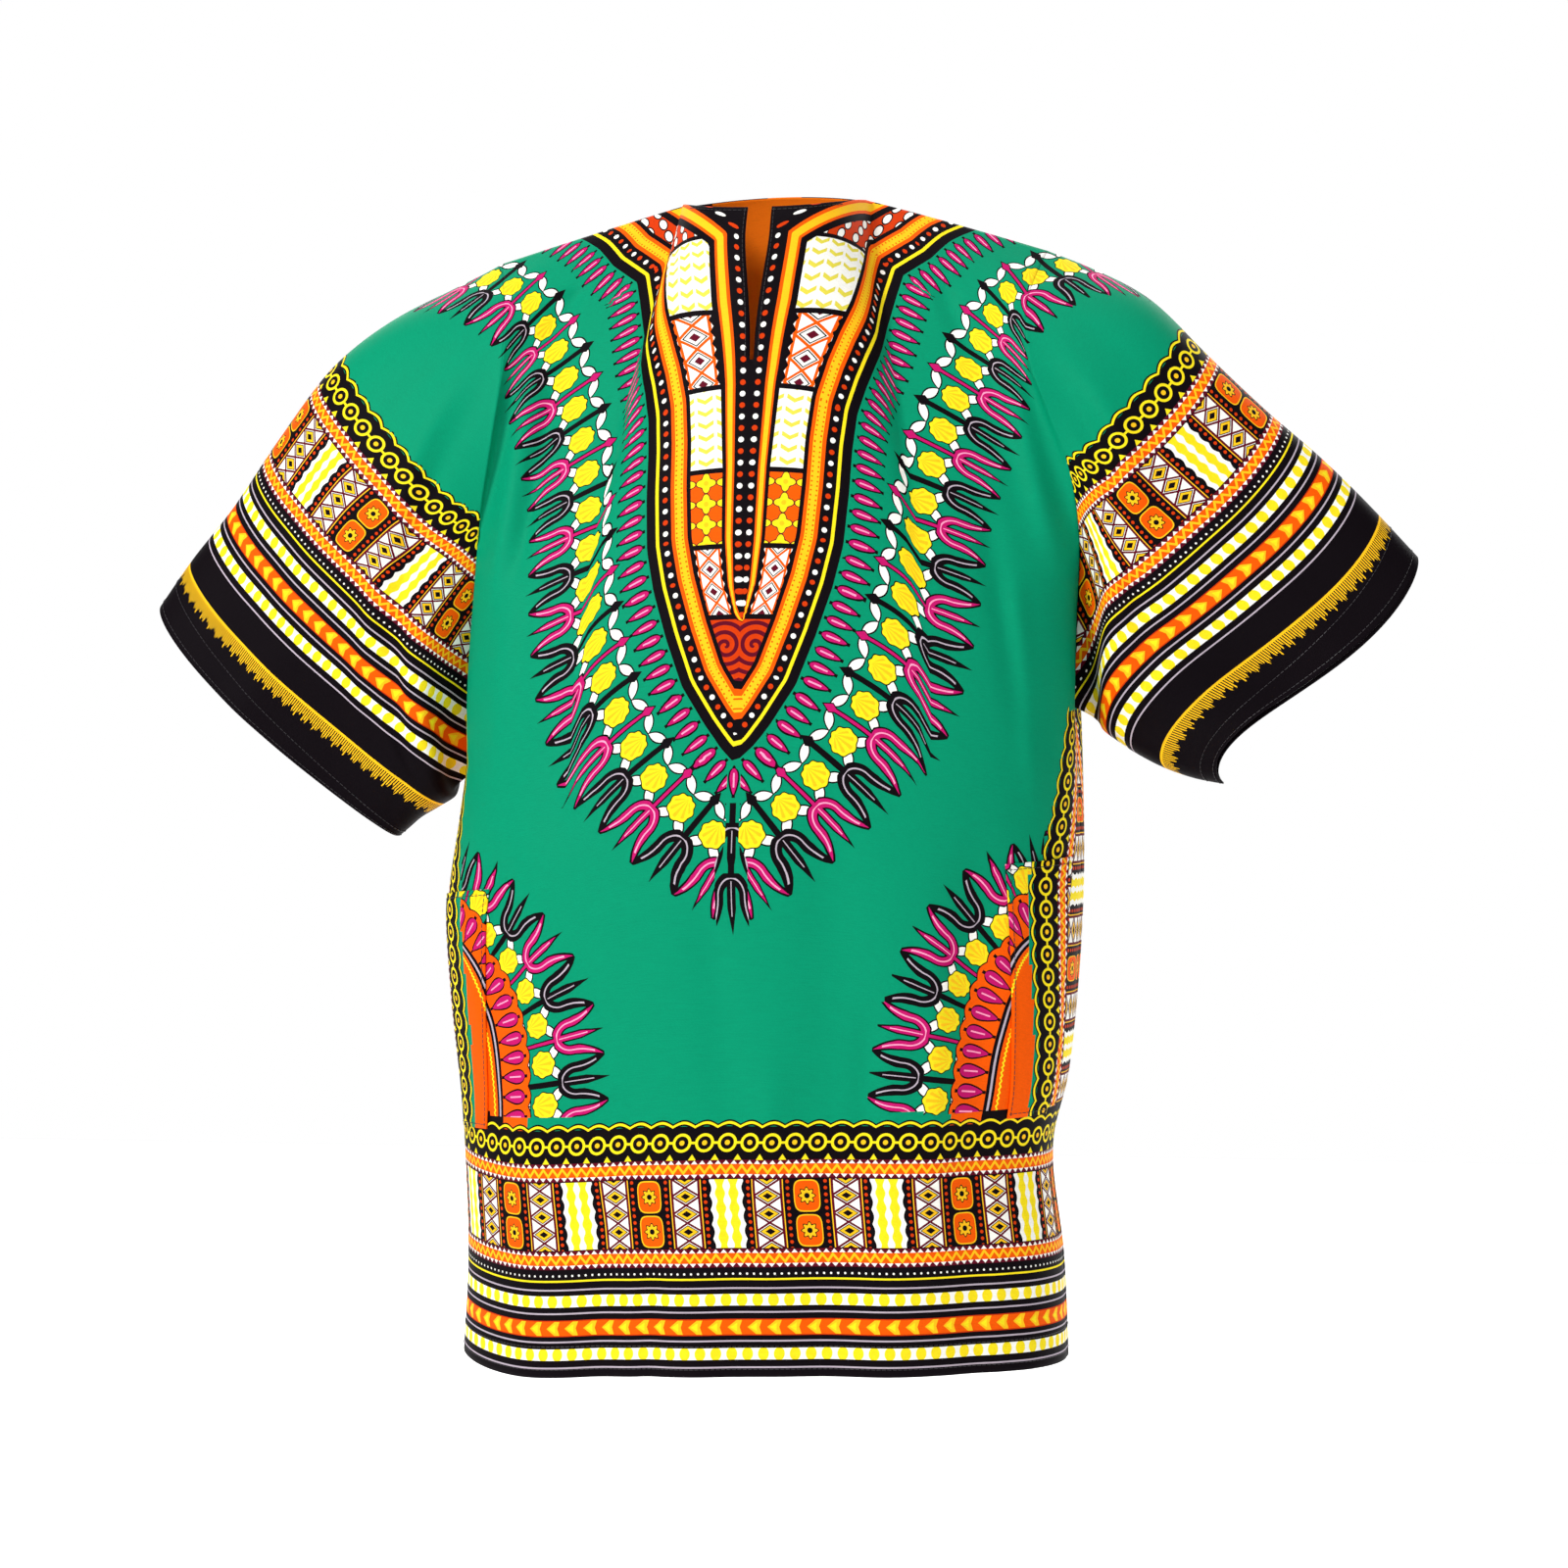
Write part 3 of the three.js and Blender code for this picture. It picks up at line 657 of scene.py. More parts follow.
class ShirtColours(bpy.types.PropertyGroup):
    """Dyes of the print."""
    green: colour_property("Green", "008f68", "Ground of the cloth")
    dark: colour_property("Dark", "0a0409", "Aubergine black of bands and outlines")
    yellow: colour_property("Yellow", "fbe21e", "Lines, blossoms and dabs")
    gold: colour_property("Gold", "ffc41c", "Veins, zigzags and ribbon")
    orange: colour_property("Orange", "f65a00", "Ribbons and ornament grounds")
    lining: colour_property("Plain orange", "ff7c14", "Orange cloth seen inside the neck")
    red: colour_property("Red", "d23a04", "Small blocks and lines")
    maroon: colour_property("Maroon", "600820", "Lattice lines and small triangles")
    magenta: colour_property("Magenta", "c21468", "Drops and tulips")
    pink: colour_property("Pink", "ffa0c4", "Light lines in drops and tulips")
    white: colour_property("White", "fbf9f2", "Leaves, dots and blocks")
    grey: colour_property("Grey", "b9acb8", "Thin lines in dark bands")
    lemon: colour_property("Lemon", "e8da4c", "Chevrons on white blocks")


class ShirtSizes(bpy.types.PropertyGroup):
    """Sizes of the cloth and its sewing."""
    cloth: bpy.props.FloatProperty(
        name="Cloth", description="Thickness of the cloth", default=0.0011, min=0.0004, max=0.002,
        unit="LENGTH")
    stitch: bpy.props.FloatProperty(
        name="Stitch", description="Length of one stitch", default=0.0026, min=0.001, max=0.006,
        unit="LENGTH")
    thread: bpy.props.FloatProperty(
        name="Thread", description="Thickness of the sewing thread", default=0.0005, min=0.0002,
        max=0.001, unit="LENGTH")
    weave: bpy.props.FloatProperty(
        name="Weave", description="Strength of the weave's relief", default=0.25, min=0, max=1)


# ---------------------------------------------------------------------------------------------
# Print: fields and coats
# ---------------------------------------------------------------------------------------------

class Field:
    """A number that varies over the cloth, worked out by Math nodes."""

    def __init__(self, tree, socket):
        self.tree, self.socket = tree, socket

    def math(self, operation, *others):
        """This field through one Math node."""
        node = self.tree.nodes.new("ShaderNodeMath")
        node.operation = operation
        for i, value in enumerate((self, *others)):
            if isinstance(value, Field):
                self.tree.links.new(value.socket, node.inputs[i])
            else:
                node.inputs[i].default_value = value
        return Field(self.tree, node.outputs[0])

    def __add__(self, other):
        return self.math("ADD", other)

    def __sub__(self, other):
        return self.math("SUBTRACT", other)

    def __rsub__(self, other):
        return self.math("MULTIPLY", -1.0).math("ADD", other)

    def __mul__(self, other):
        return self.math("MULTIPLY", other)

    def __truediv__(self, other):
        return self.math("DIVIDE", other)

    def __pow__(self, other):
        return self.math("POWER", other)

    def __abs__(self):
        return self.math("ABSOLUTE")

    __rmul__ = __mul__

    def least(self, other):
        """The lower of two fields; of two masks, where both are 1."""
        return self.math("MINIMUM", other)

    def most(self, other):
        """The higher of two fields; of two masks, where either is 1."""
        return self.math("MAXIMUM", other)

    def below(self, edge):
        """A mask: 1 where the field is under the edge."""
        return self.math("LESS_THAN", edge)

    def above(self, edge):
        """A mask: 1 where the field is over the edge."""
        return self.math("GREATER_THAN", edge)

    def between(self, low, high):
        """A mask: 1 from low to high."""
        return abs(self - (low + high) / 2).below((high - low) / 2)

    def wrap(self, pitch):
        """Distance from the middle of the nearest of a row of even cells."""
        return self.math("WRAP", pitch / 2, -pitch / 2)

    def odd(self, pitch):
        """1 in every second cell of a row, else 0."""
        return (self / (2 * pitch) + 0.25).math("FRACT").above(0.5)

    def cosine(self, pitch):
        """A wave from -1 to 1 with a crest at each pitch."""
        return (self * (2 * math.pi / pitch)).math("COSINE")

    def from_centre(self, other):
        """Distance from the place where both fields are 0."""
        return (self * self + other * other).math("SQRT")

    def angle(self, other):
        """Direction from the place where both fields are 0."""
        return self.math("ARCTAN2", other)


class Coats:
    """Colours laid over each other, each where its mask is 1."""

    def __init__(self, material, colour):
        self.tree = material.node_tree
        self.colours = bpy.context.scene.shirt_colours
        self.socket = None
        self.ground = self.dye(colour)

    def dye(self, name):
        """A dye of the shirt as four numbers."""
        return (*getattr(self.colours, name), 1.0)

    def lay(self, name, mask):
        """Lay a dye over what is there, where the mask is 1."""
        node = self.tree.nodes.new("ShaderNodeMix")
        node.data_type = "RGBA"
        self.tree.links.new(mask.socket, node.inputs["Factor"])
        if self.socket is None:
            node.inputs["A"].default_value = self.ground
        else:
            self.tree.links.new(self.socket, node.inputs["A"])
        node.inputs["B"].default_value = self.dye(name)
        self.socket = node.outputs["Result"]

    def field(self, name, part):
        """One number of a named field of the cloth."""
        read = self.tree.nodes.new("ShaderNodeAttribute")
        read.attribute_name = name
        split = self.tree.nodes.new("ShaderNodeSeparateXYZ")
        self.tree.links.new(read.outputs["Vector"], split.inputs[0])
        return [Field(self.tree, split.outputs[i]) for i in range(part)]


def lay_zigzag(coats, x, y, mask):
    """A ribbon from y = 0 up, with toothed edges and a zigzag along its middle."""
    coats.lay("white", mask)
    tooth = abs(x.wrap(5.2)) * 1.15
    edge = RIBBON_HEIGHT / 2 - abs(y - RIBBON_HEIGHT / 2)
    coats.lay("maroon", mask.least((edge - tooth).below(0.2)))
    middle = edge.above(2.6)
    coats.lay("orange", mask.least(middle))
    wave = abs(x.wrap(7.0)) * 1.3
    coats.lay("gold", mask.least(abs(y - wave - 3.7).below(1.3)).least(middle))


def lay_diamonds(coats, m, y, half_width, pitch, mask, dyes=("maroon", "gold", "dark")):
    """A lattice of crossed lines with a diamond in each of its eyes."""
    line, eye_dye, heart = dyes
    across = abs(m) / half_width
    eye = abs(y.wrap(pitch)) / (pitch / 2) + across
    coats.lay("white", mask)
    coats.lay(line, mask.least(abs(eye - 1.0).below(0.14)))
    coats.lay(line, mask.least(abs(across - 0.97).below(0.1)))
    coats.lay(eye_dye, mask.least(eye.below(0.74)))
    coats.lay("dark", mask.least(abs(eye - 0.72).below(0.06)))
    coats.lay(heart, mask.least(eye.below(0.36)))


def lay_chain(coats, x, y):
    """A scalloped line over a chain of beaded rings, with buds under it."""
    scallop = abs(y - abs(x.cosine(2 * RING_PITCH)) * 2.8 - SCALLOP_LINE)
    coats.lay("dark", scallop.below(2.0))
    coats.lay("yellow", scallop.below(0.85))
    ring_x, ring_y = x.wrap(RING_PITCH), y - RING_LINE
    ring = ring_x.from_centre(ring_y)
    coats.lay("yellow", abs(ring - 5.3).below(0.95))
    coats.lay("gold", ring.below(1.7))
    coats.lay("yellow", abs(ring_x).above(6.0).least(abs(ring_y).below(0.8)))
    bud = abs((x + RING_PITCH / 2).wrap(RING_PITCH)) * 1.5 + (y - 141.5)
    coats.lay("yellow", bud.below(4.2).least(y.between(*BUDS)))


def lay_block_row(coats, x, up):
    """Scalloped, latticed and flowered blocks in turn."""
    rows = up.between(*BLOCK_ROWS)
    y = up - sum(BLOCK_ROWS) / 2
    part = abs(x.wrap(BLOCK_PITCH))
    # White block with dark scallops at its sides and a yellow wave down each half.
    coats.lay("white", rows.least(part.below(11.2)))
    scallops = abs(up.cosine(19.0)) * 1.6
    coats.lay("dark", rows.least(part.between(9.2, 11.2)).least((part + scallops).above(11.4)))
    wave = up.cosine(9.6) * 0.7
    coats.lay("yellow", rows.least((abs(part - 4.4) + wave).below(2.7)))
    # Lattice, with a row of red beads on each side.
    across = part - 27.2
    lay_diamonds(coats, across, y, 9.4, 11.6, rows.least(part.between(17.4, 37.0)))
    coats.lay("gold", rows.least(abs(abs(across) - 10.2).below(0.35)))
    for place in (14.2, 40.6):
        bead = (part - place).from_centre(up.wrap(4.4))
        coats.lay("red", rows.least(bead.below(1.2)))
    # Two rounded tiles, one over the other, each with a flower of eight petals.
    far = BLOCK_PITCH / 2 - part
    centre_y = abs(y) - 11.4
    corner = (far / 8.6) ** 4.0 + (abs(centre_y) / 10.6) ** 4.0
    coats.lay("gold", rows.least(corner.below(1.0)))
    coats.lay("orange", rows.least(corner.below(0.72)))
    petal = far.from_centre(centre_y)
    turn = (far.angle(centre_y) * 8.0).math("COSINE")
    coats.lay("dark", rows.least((petal - turn * 0.8).below(5.2)))
    coats.lay("gold", rows.least((petal - turn * 0.9).below(4.3)))
    coats.lay("dark", rows.least(petal.below(1.8)))


def lay_stripes(coats, x, y):
    """Stripes of the border's foot, and the dotted line over them."""
    coats.lay("white", x.wrap(4.6).from_centre(y - DOT_LINE).below(0.75))
    coats.lay("yellow", y.between(*THIN_STRIPE))
    for middle in GREY_LINES:
        coats.lay("grey", y.between(middle - 0.55, middle + 0.55))
    for low, high in DABBED_STRIPES:
        stripe = y.between(low, high)
        coats.lay("white", stripe)
        dab = (x + low).wrap(10.4) / 3.6
        tall = (y - (low + high) / 2) / 4.4
        coats.lay("yellow", stripe.least(dab.from_centre(tall).below(1.0)))
    stripe = y.between(*ARROW_STRIPE)
    coats.lay("orange", stripe)
    rise = abs(y - sum(ARROW_STRIPE) / 2)
    dab = abs((x - rise * 0.8).wrap(13.0))
    coats.lay("gold", stripe.least((dab + rise * 0.45).below(3.9)))
    coats.lay("yellow", stripe.least((dab + rise * 0.8).below(2.3)))
    coats.lay("red", stripe.least(rise.above(4.6)))


def lay_border(coats, x, y):
    """Hem, side and cuff border: x runs along it, y up from its edge."""
    coats.lay("dark", y.below(BORDER_GROUND))
    lay_chain(coats, x, y)
    for low in RIBBONS:
        lay_zigzag(coats, x, y - low, y.between(low, low + RIBBON_HEIGHT))
    lay_block_row(coats, x, y)
    lay_stripes(coats, x, y)


def lay_cuff(coats, x, y):
    """The dark cuff under the border, with a feathered line."""
    coats.lay("gold", y.between(-17.4, -15.6))
    ragged = (x * 0.61).math("SINE") * 1.8 + (x * 1.73).math("SINE") * 1.4
    stroke = abs(x.wrap(1.9)).below(0.5).least((y + ragged).above(-25.5)).least(y.below(-16.0))
    coats.lay("gold", stroke)


def leaf(a, d, middle_a, middle_d, lean, half_length, half_width):
    """A pointed leaf, below 1 inside it."""
    a, d = a - middle_a, d - middle_d
    c, s = math.cos(lean), math.sin(lean)
    length, width = a * c + d * s, d * c - a * s
    return (length / half_length) ** 2.0 + abs(width) / half_width


def lay_fringe(coats, s, d):
    """Tulips on stems, dark and magenta in turn, with a blossom and leaves between them."""
    a = abs(s.wrap(STEM_PITCH))
    for middle_d, lean in BLOSSOM_LEAVES:
        shape = leaf(a, d, 7.6, middle_d, lean, 7.6, 3.0)
        coats.lay("dark", shape.below(1.3))
        coats.lay("white", shape.below(0.95))
    b = STEM_PITCH / 2 - a
    up = d - BLOSSOM
    turn = b.angle(up)
    lobes = turn.math("COSINE") * 1.5 + (turn * 8.0).math("COSINE") * 0.5
    reach = b.from_centre(up) - lobes
    coats.lay("dark", reach.below(9.7))
    coats.lay("yellow", reach.below(8.9))
    fan = b.angle(up + 6.0)
    vein = (fan * 15.0).math("COSINE").above(0.2).least(reach.below(6.6)).least(up.above(-6.5))
    coats.lay("gold", vein)
    lay_tulip(coats, a, d, dark_one=s.odd(STEM_PITCH))


def lay_tulip(coats, a, d, dark_one=None, where=None):
    """A cup that opens into two side prongs, with a middle prong, a stem and its head."""
    past = (d - CUP).most(0.0)
    low = (d - CUP).least(0.0) / 11.0
    cup_wall = abs((a / (past * past * 0.012 + 8.8)).from_centre(low) - 1.0)
    side = (cup_wall * 8.8 - ((91.0 - d) * 0.15).least(2.5)).most(d - 90.5).most(56.0 - d)
    middle = (a - ((88.0 - d) * 0.17).least(1.9)).most(57.0 - d)
    stem = (a - 1.1).most(26.0 - d).most(d - 62.0)
    head = a + abs(d - 26.5) * 0.62 - 3.2
    tulip = side.least(middle).least(stem).least(head)
    lines = cup_wall.below(0.05).least(d.between(58.0, 85.0))
    lines = lines.most(a.below(0.32).least(d.between(60.0, 82.0)))
    outline = tulip.below(1.0)
    if where is not None:
        outline, lines = outline.least(where), lines.least(where)
    coats.lay("dark", outline)
    if dark_one is None:
        coats.lay("grey", lines)
        return
    magenta_one = 1.0 - dark_one
    coats.lay("magenta", tulip.below(0.0).least(magenta_one))
    coats.lay("pink", lines.least(magenta_one))
    coats.lay("grey", lines.least(dark_one))


def lay_drops(coats, s, d, pitch, middle, half_length, half_width, where=None):
    """A ring of drops that point away from the edge they stand on."""
    a = abs(s.wrap(pitch))
    e = (d - middle) / half_length
    shape = a - (1.0 - e * e).most(0.0) ** 0.6 * (1.0 - e * 0.45) * half_width
    near = abs(e).below(1.25)
    if where is not None:
        near = near.least(where)
    coats.lay("dark", near.least(shape.below(1.15)))
    coats.lay("magenta", near.least(shape.below(0.0)))
    coats.lay("pink", near.least(a.below(0.55)).least(abs(e + 0.1).below(0.55)))


def lay_yoke_blocks(coats, m, y, half):
    """Blocks down each side of the slit: chevrons, lattices and flowers."""
    coats.lay("white", y.above(0.0))
    step = abs(m.wrap(13.0))
    chevron = abs((y + step * 0.55).wrap(8.6)).below(1.5).least(step.below(5.4))
    coats.lay("lemon", chevron)
    for low, high in (BLOCK_SPLITS[1:3], BLOCK_SPLITS[4:6]):
        zone = y.between(low, high)
        lay_diamonds(coats, m, y - low, half * 0.8, 15.0, zone, ("orange", "white", "maroon"))
        coats.lay("dark", zone.least((abs(m) / half + abs(y.wrap(7.5)) * 0.05).above(0.95)))
    zone = y.between(*BLOCK_SPLITS[3:5])
    coats.lay("orange", zone)
    flower_x, flower_y = m.wrap(14.0), (y - 262).wrap(14.0)
    centre = flower_x.from_centre(flower_y)
    petal = centre - (flower_x.angle(flower_y) * 4.0).math("COSINE") * 1.3
    coats.lay("maroon", zone.least(petal.between(5.2, 6.0)))
    coats.lay("yellow", zone.least(petal.below(5.2)))
    coats.lay("gold", zone.least(centre.below(1.6)))


def lay_yoke_tip(coats, u, v, zone):
    """Scrolls in the tip."""
    coats.lay("maroon", zone)
    curl_u, curl_v = abs(u) - 9.5, v - 371.0
    coil = curl_u.from_centre(curl_v) + curl_u.angle(curl_v) * 0.95
    coats.lay("red", zone.least(abs(coil.wrap(6.0)).above(1.35)))


def lay_yoke_wings(coats, u, v, zone):
    """Slanted ovals on the wings over the shoulders."""
    coats.lay("red", zone)
    slanted = abs(u) * 0.86 + v * 0.5
    rising = v * 0.86 - abs(u) * 0.5
    oval = (slanted.wrap(9.5) / 2.3).from_centre(rising.wrap(15.0) / 5.8)
    coats.lay("dark", zone.least(oval.below(1.25)))
    coats.lay("white", zone.least(oval.below(0.95)))


def lay_inner_bands(coats, y, slit, inner):
    """Bands from the slit and the neck out to the blocks."""
    coats.lay("dark", slit.below(1.0))
    coats.lay("orange", slit.between(0.50, 0.84))
    coats.lay("gold", slit.between(0.59, 0.77))
    dot = y.wrap(DOT_PITCH).from_centre((slit - 0.25) * inner).below(1.9).least(slit.below(0.5))
    coats.lay("white", dot)
    coats.lay("red", dot.least(y.odd(DOT_PITCH)))


def lay_outer_bands(coats, s, d):
    """Bands from the blocks out to the yoke's edge."""
    coats.lay("dark", d.above(-31.2))
    coats.lay("orange", d.between(-28.4, -17.4))
    coats.lay("gold", d.between(-26.0, -20.0))
    freckle = abs(s.wrap(3.4)).most(abs(abs(d + 23.0) - 1.9))
    coats.lay("orange", freckle.below(0.6))
    dot = s.wrap(DOT_PITCH).from_centre(d + 13.3).below(1.8)
    coats.lay("white", dot)
    coats.lay("red", dot.least(s.odd(DOT_PITCH)))
    coats.lay("yellow", d.between(*YOKE_LINE))
    coats.lay("green", d.above(0.0))


def yoke_print(coats):
    """Blocks between dotted bands and ribbons, from the neck and slit out to the yoke's edge."""
    s, d = coats.field("yoke", 2)
    slit, inner = coats.field("slit", 2)
    m, y, half = coats.field("blocks", 3)
    u, v = coats.field("cut", 2)
    lay_yoke_blocks(coats, m, y, half)
    lay_yoke_tip(coats, u, v, y.above(BLOCK_SPLITS[-1]))
    lay_yoke_wings(coats, u, v, y.below(BLOCK_SPLITS[0]))
    for split in BLOCK_SPLITS:
        coats.lay("dark", abs(y - split).below(1.7))
    lay_inner_bands(coats, y, slit, inner)
    lay_outer_bands(coats, s, d)


def fringe_print(coats):
    """Drops and blossoms round the yoke."""
    s, d = coats.field("yoke", 2)
    fringe_s, fringe_d = coats.field("fringe", 2)
    lay_fringe(coats, fringe_s, fringe_d)
    lay_drops(coats, s + DROP_PITCH / 2, d, DROP_PITCH, *DROP)
    u, v = coats.field("cut", 2)
    wide = ((v - 500.0) * 0.5).most(0.0).least(6.5) + 4.5
    tip = (abs(u) - wide).below(0.0).least((abs(u) * 1.3 + 449.0 - v).below(0.0))
    coats.lay("green", tip)
    lay_drops(coats, u, v - YOKE_EDGE[0][1], 60.0, *DROP, where=tip)
    for top in (488.0, 521.0):
        lay_tulip(coats, abs(u), (v - top) * 0.95 + 56.0, where=tip.least(v.above(top - 14)))
    coats.lay("dark", d.below(0.0))
    coats.lay("yellow", d.between(*YOKE_LINE))


def corner_print(coats):
    """Corner ornament over the hem border, and the blossoms round it."""
    s, d = coats.field("corner", 2)
    fringe_s, fringe_d = coats.field("corner_fringe", 2)
    lay_fringe(coats, fringe_s - 7.5, fringe_d)
    wave = d - abs(s.cosine(2 * CORNER_DROP_PITCH)) * 2.4
    coats.lay("dark", wave.below(0.0))
    coats.lay("orange", wave.below(-0.9))
    lay_drops(coats, s, -1.0 * d, CORNER_DROP_PITCH, *CORNER_DROP)
    coats.lay("dark", d.below(-25.0))
    coats.lay("grey", d.between(-29.0, -27.4))
    coats.lay("orange", d.below(-31.0))
    tooth = abs(s.wrap(4.0))
    coats.lay("yellow", abs(d + 35.0 - tooth * 0.6).below(0.7))


def hem_print(coats):
    """Hem border, with the foot of the corner ornaments over it."""
    x, y = coats.field("hem_border", 2)
    _, d = coats.field("corner", 2)
    coats.lay("orange", d.below(-0.9))
    coats.lay("dark", d.below(-25.0))
    lay_border(coats, x + 2.5, y)


def side_print(coats):
    """Border up the side seam."""
    x, y = coats.field("side_border", 2)
    lay_border(coats, x, y)


def cuff_print(coats):
    """Border over the cuff, and the cuff."""
    x, y = coats.field("cuff_border", 2)
    lay_border(coats, x + 30.0, y)
    lay_cuff(coats, x, y)


def add_weave(coats, shader):
    """Slub of the threads: faint streaks in the dye and a fine relief."""
    tree = coats.tree
    read = tree.nodes.new("ShaderNodeAttribute")
    read.attribute_name = "cut"
    streaks = []
    for scale in ((*SLUB[::-1], 1.0), (*SLUB, 1.0)):
        stretch = tree.nodes.new("ShaderNodeMapping")
        stretch.inputs["Scale"].default_value = scale
        noise = tree.nodes.new("ShaderNodeTexNoise")
        noise.inputs["Scale"].default_value = 1.0
        noise.inputs["Detail"].default_value = 3.0
        tree.links.new(read.outputs["Vector"], stretch.inputs["Vector"])
        tree.links.new(stretch.outputs["Vector"], noise.inputs["Vector"])
        streaks.append(Field(tree, noise.outputs["Fac"]))
    slub = (streaks[0] + streaks[1]) * 0.5
    darkest, lightest = SLUB_SHADE
    shade = tree.nodes.new("ShaderNodeHueSaturation")
    tree.links.new((slub * (lightest - darkest) + darkest).socket, shade.inputs["Value"])
    if coats.socket is None:
        shade.inputs["Color"].default_value = coats.ground
    else:
        tree.links.new(coats.socket, shade.inputs["Color"])
    tree.links.new(shade.outputs["Color"], shader.inputs["Base Color"])
    bump = tree.nodes.new("ShaderNodeBump")
    bump.inputs["Strength"].default_value = bpy.context.scene.shirt_sizes.weave
    bump.inputs["Distance"].default_value = THREAD_HEIGHT
    tree.links.new(slub.socket, bump.inputs["Height"])
    tree.links.new(bump.outputs["Normal"], shader.inputs["Normal"])


def cloth_material(name, ground, draw):
    """Printed poplin: a slightly shiny cotton with its own print."""
    material = bpy.data.materials.new(name)
    material.use_nodes = True
    shader = material.node_tree.nodes["Principled BSDF"]
    shader.inputs["Roughness"].default_value = 0.62
    shader.inputs["Specular IOR Level"].default_value = 0.06
    coats = Coats(material, ground)
    if draw is not None:
        draw(coats)
    add_weave(coats, shader)


# Each cloth's ground dye, and what is printed on it.
CLOTHS = {
    "printed_ground": ("green", None),
    "printed_yoke": ("green", yoke_print),
    "printed_fringe": ("green", fringe_print),
    "printed_corner": ("green", corner_print),
    "printed_hem": ("green", hem_print),
    "printed_side": ("green", side_print),
    "printed_cuff": ("green", cuff_print),
    "plain_orange": ("lining", None),
}


def cloth_materials():
    """All the cloth's materials by name, made once."""
    for name, (ground, draw) in CLOTHS.items():
        if name not in bpy.data.materials:
            cloth_material(name, ground, draw)
    return {name: bpy.data.materials[name] for name in CLOTHS}


def zone_of(fields, cuffed, pocket):
    """The name of the material at each place of the cloth."""
    u, _, up = fields["cut"]
    zone = np.full(u.shape, "printed_ground", dtype="U16")
    past_fringe = fields["fringe"][1] - FRINGE_LINE_DISTANCE
    if cuffed:
        zone[past_fringe < ZONE_REACH["sleeve_fringe"]] = "printed_fringe"
        zone[up < BORDER_HEIGHT + SLEEVE_BORDER_SHIFT] = "printed_cuff"
        return zone
    zone[past_fringe < ZONE_REACH["fringe"]] = "printed_fringe"
    zone[fields["yoke"][1] < -ZONE_REACH["yoke"]] = "printed_yoke"
    by_corner = (fields["corner"][1] < ZONE_REACH["corner"]) & (up < ZONE_REACH["corner_top"])
    zone[by_corner & (np.abs(u) > ZONE_REACH["corner_inside"])] = "printed_corner"
    if pocket:
        zone[:] = "printed_corner"
    by_side = (fields["side_border"][1] < BORDER_HEIGHT - ZONE_REACH["border"]) & (up < SIDE_BORDER_TOP)
    zone[by_side] = "printed_side"
    if not pocket:
        zone[up < BORDER_HEIGHT + ZONE_REACH["border"]] = "printed_hem"
    return zone


# ---------------------------------------------------------------------------------------------
# Pieces
# ---------------------------------------------------------------------------------------------

def cells_of(sheet):
    """Faces of a sheet as corner numbers, with their outside out."""
    height, width = sheet.u.shape
    row, column = np.mgrid[:height - 1, :width if sheet.closed else width - 1]
    keep = np.ones(row.shape, bool)
    if sheet.open_column is not None:
        keep = ~((column == sheet.open_column) & (row < sheet.open_rows))
    row, column = row[keep], column[keep]
    after = (column + 1) % width
    cells = np.stack([row * width + column, (row + 1) * width + column,
                      (row + 1) * width + after, row * width + after], -1)
    return cells if sheet.outside else cells[:, ::-1]


def cloth_object(name, sheet, fields, cuffed=False):
    """A shell of cloth with the print's fields on its points."""
    cells = cells_of(sheet)
    mesh = bpy.data.meshes.new(name)
    mesh.from_pydata((sheet.points.reshape(-1, 3) * MM).tolist(), [], cells.tolist())
    mesh.polygons.foreach_set("use_smooth", np.ones(len(cells), bool))
    for title, parts in fields.items():
        data = np.stack([np.broadcast_to(part, sheet.u.shape) for part in parts], -1)
        layer = mesh.attributes.new(title, "FLOAT_VECTOR", "POINT")
        layer.data.foreach_set("vector", data.reshape(-1).astype(np.float32))
    zones = zone_of(fields, cuffed, "pocket" in name).reshape(-1)[cells[:, 0]]
    if name == "back_panel":
        for title, reach in ORANGE_STRIP.items():
            strip = (np.abs(sheet.u) < reach) & (sheet.v < ORANGE_STRIP_END)
            zones = np.where(strip.reshape(-1)[cells[:, 0]], title, zones)
    materials = cloth_materials()
    names = sorted(set(zones))
    for title in names:
        mesh.materials.append(materials[title.replace("orange_inside", "printed_yoke")])
    for title in names:
        mesh.materials.append(materials[title.replace("orange_inside", "plain_orange")])
    mesh.polygons.foreach_set("material_index", np.array([names.index(z) for z in zones], np.int32))
    mesh.update()
    piece = bpy.data.objects.new(name, mesh)
    bpy.context.scene.collection.objects.link(piece)
    shell = piece.modifiers.new("Cloth thickness", "SOLIDIFY")
    shell.thickness = bpy.context.scene.shirt_sizes.cloth
    shell.offset = -1.0
    shell.material_offset = len(names)
    return piece


def normals_of(sheet):
    """Outward directions at the points of an open sheet."""
    along = np.gradient(sheet.points, axis=0)
    across = np.gradient(sheet.points, axis=1)
    normal = np.cross(along, across) * (1 if sheet.outside else -1)
    return normal / np.maximum(np.linalg.norm(normal, axis=-1, keepdims=True), 1e-9)


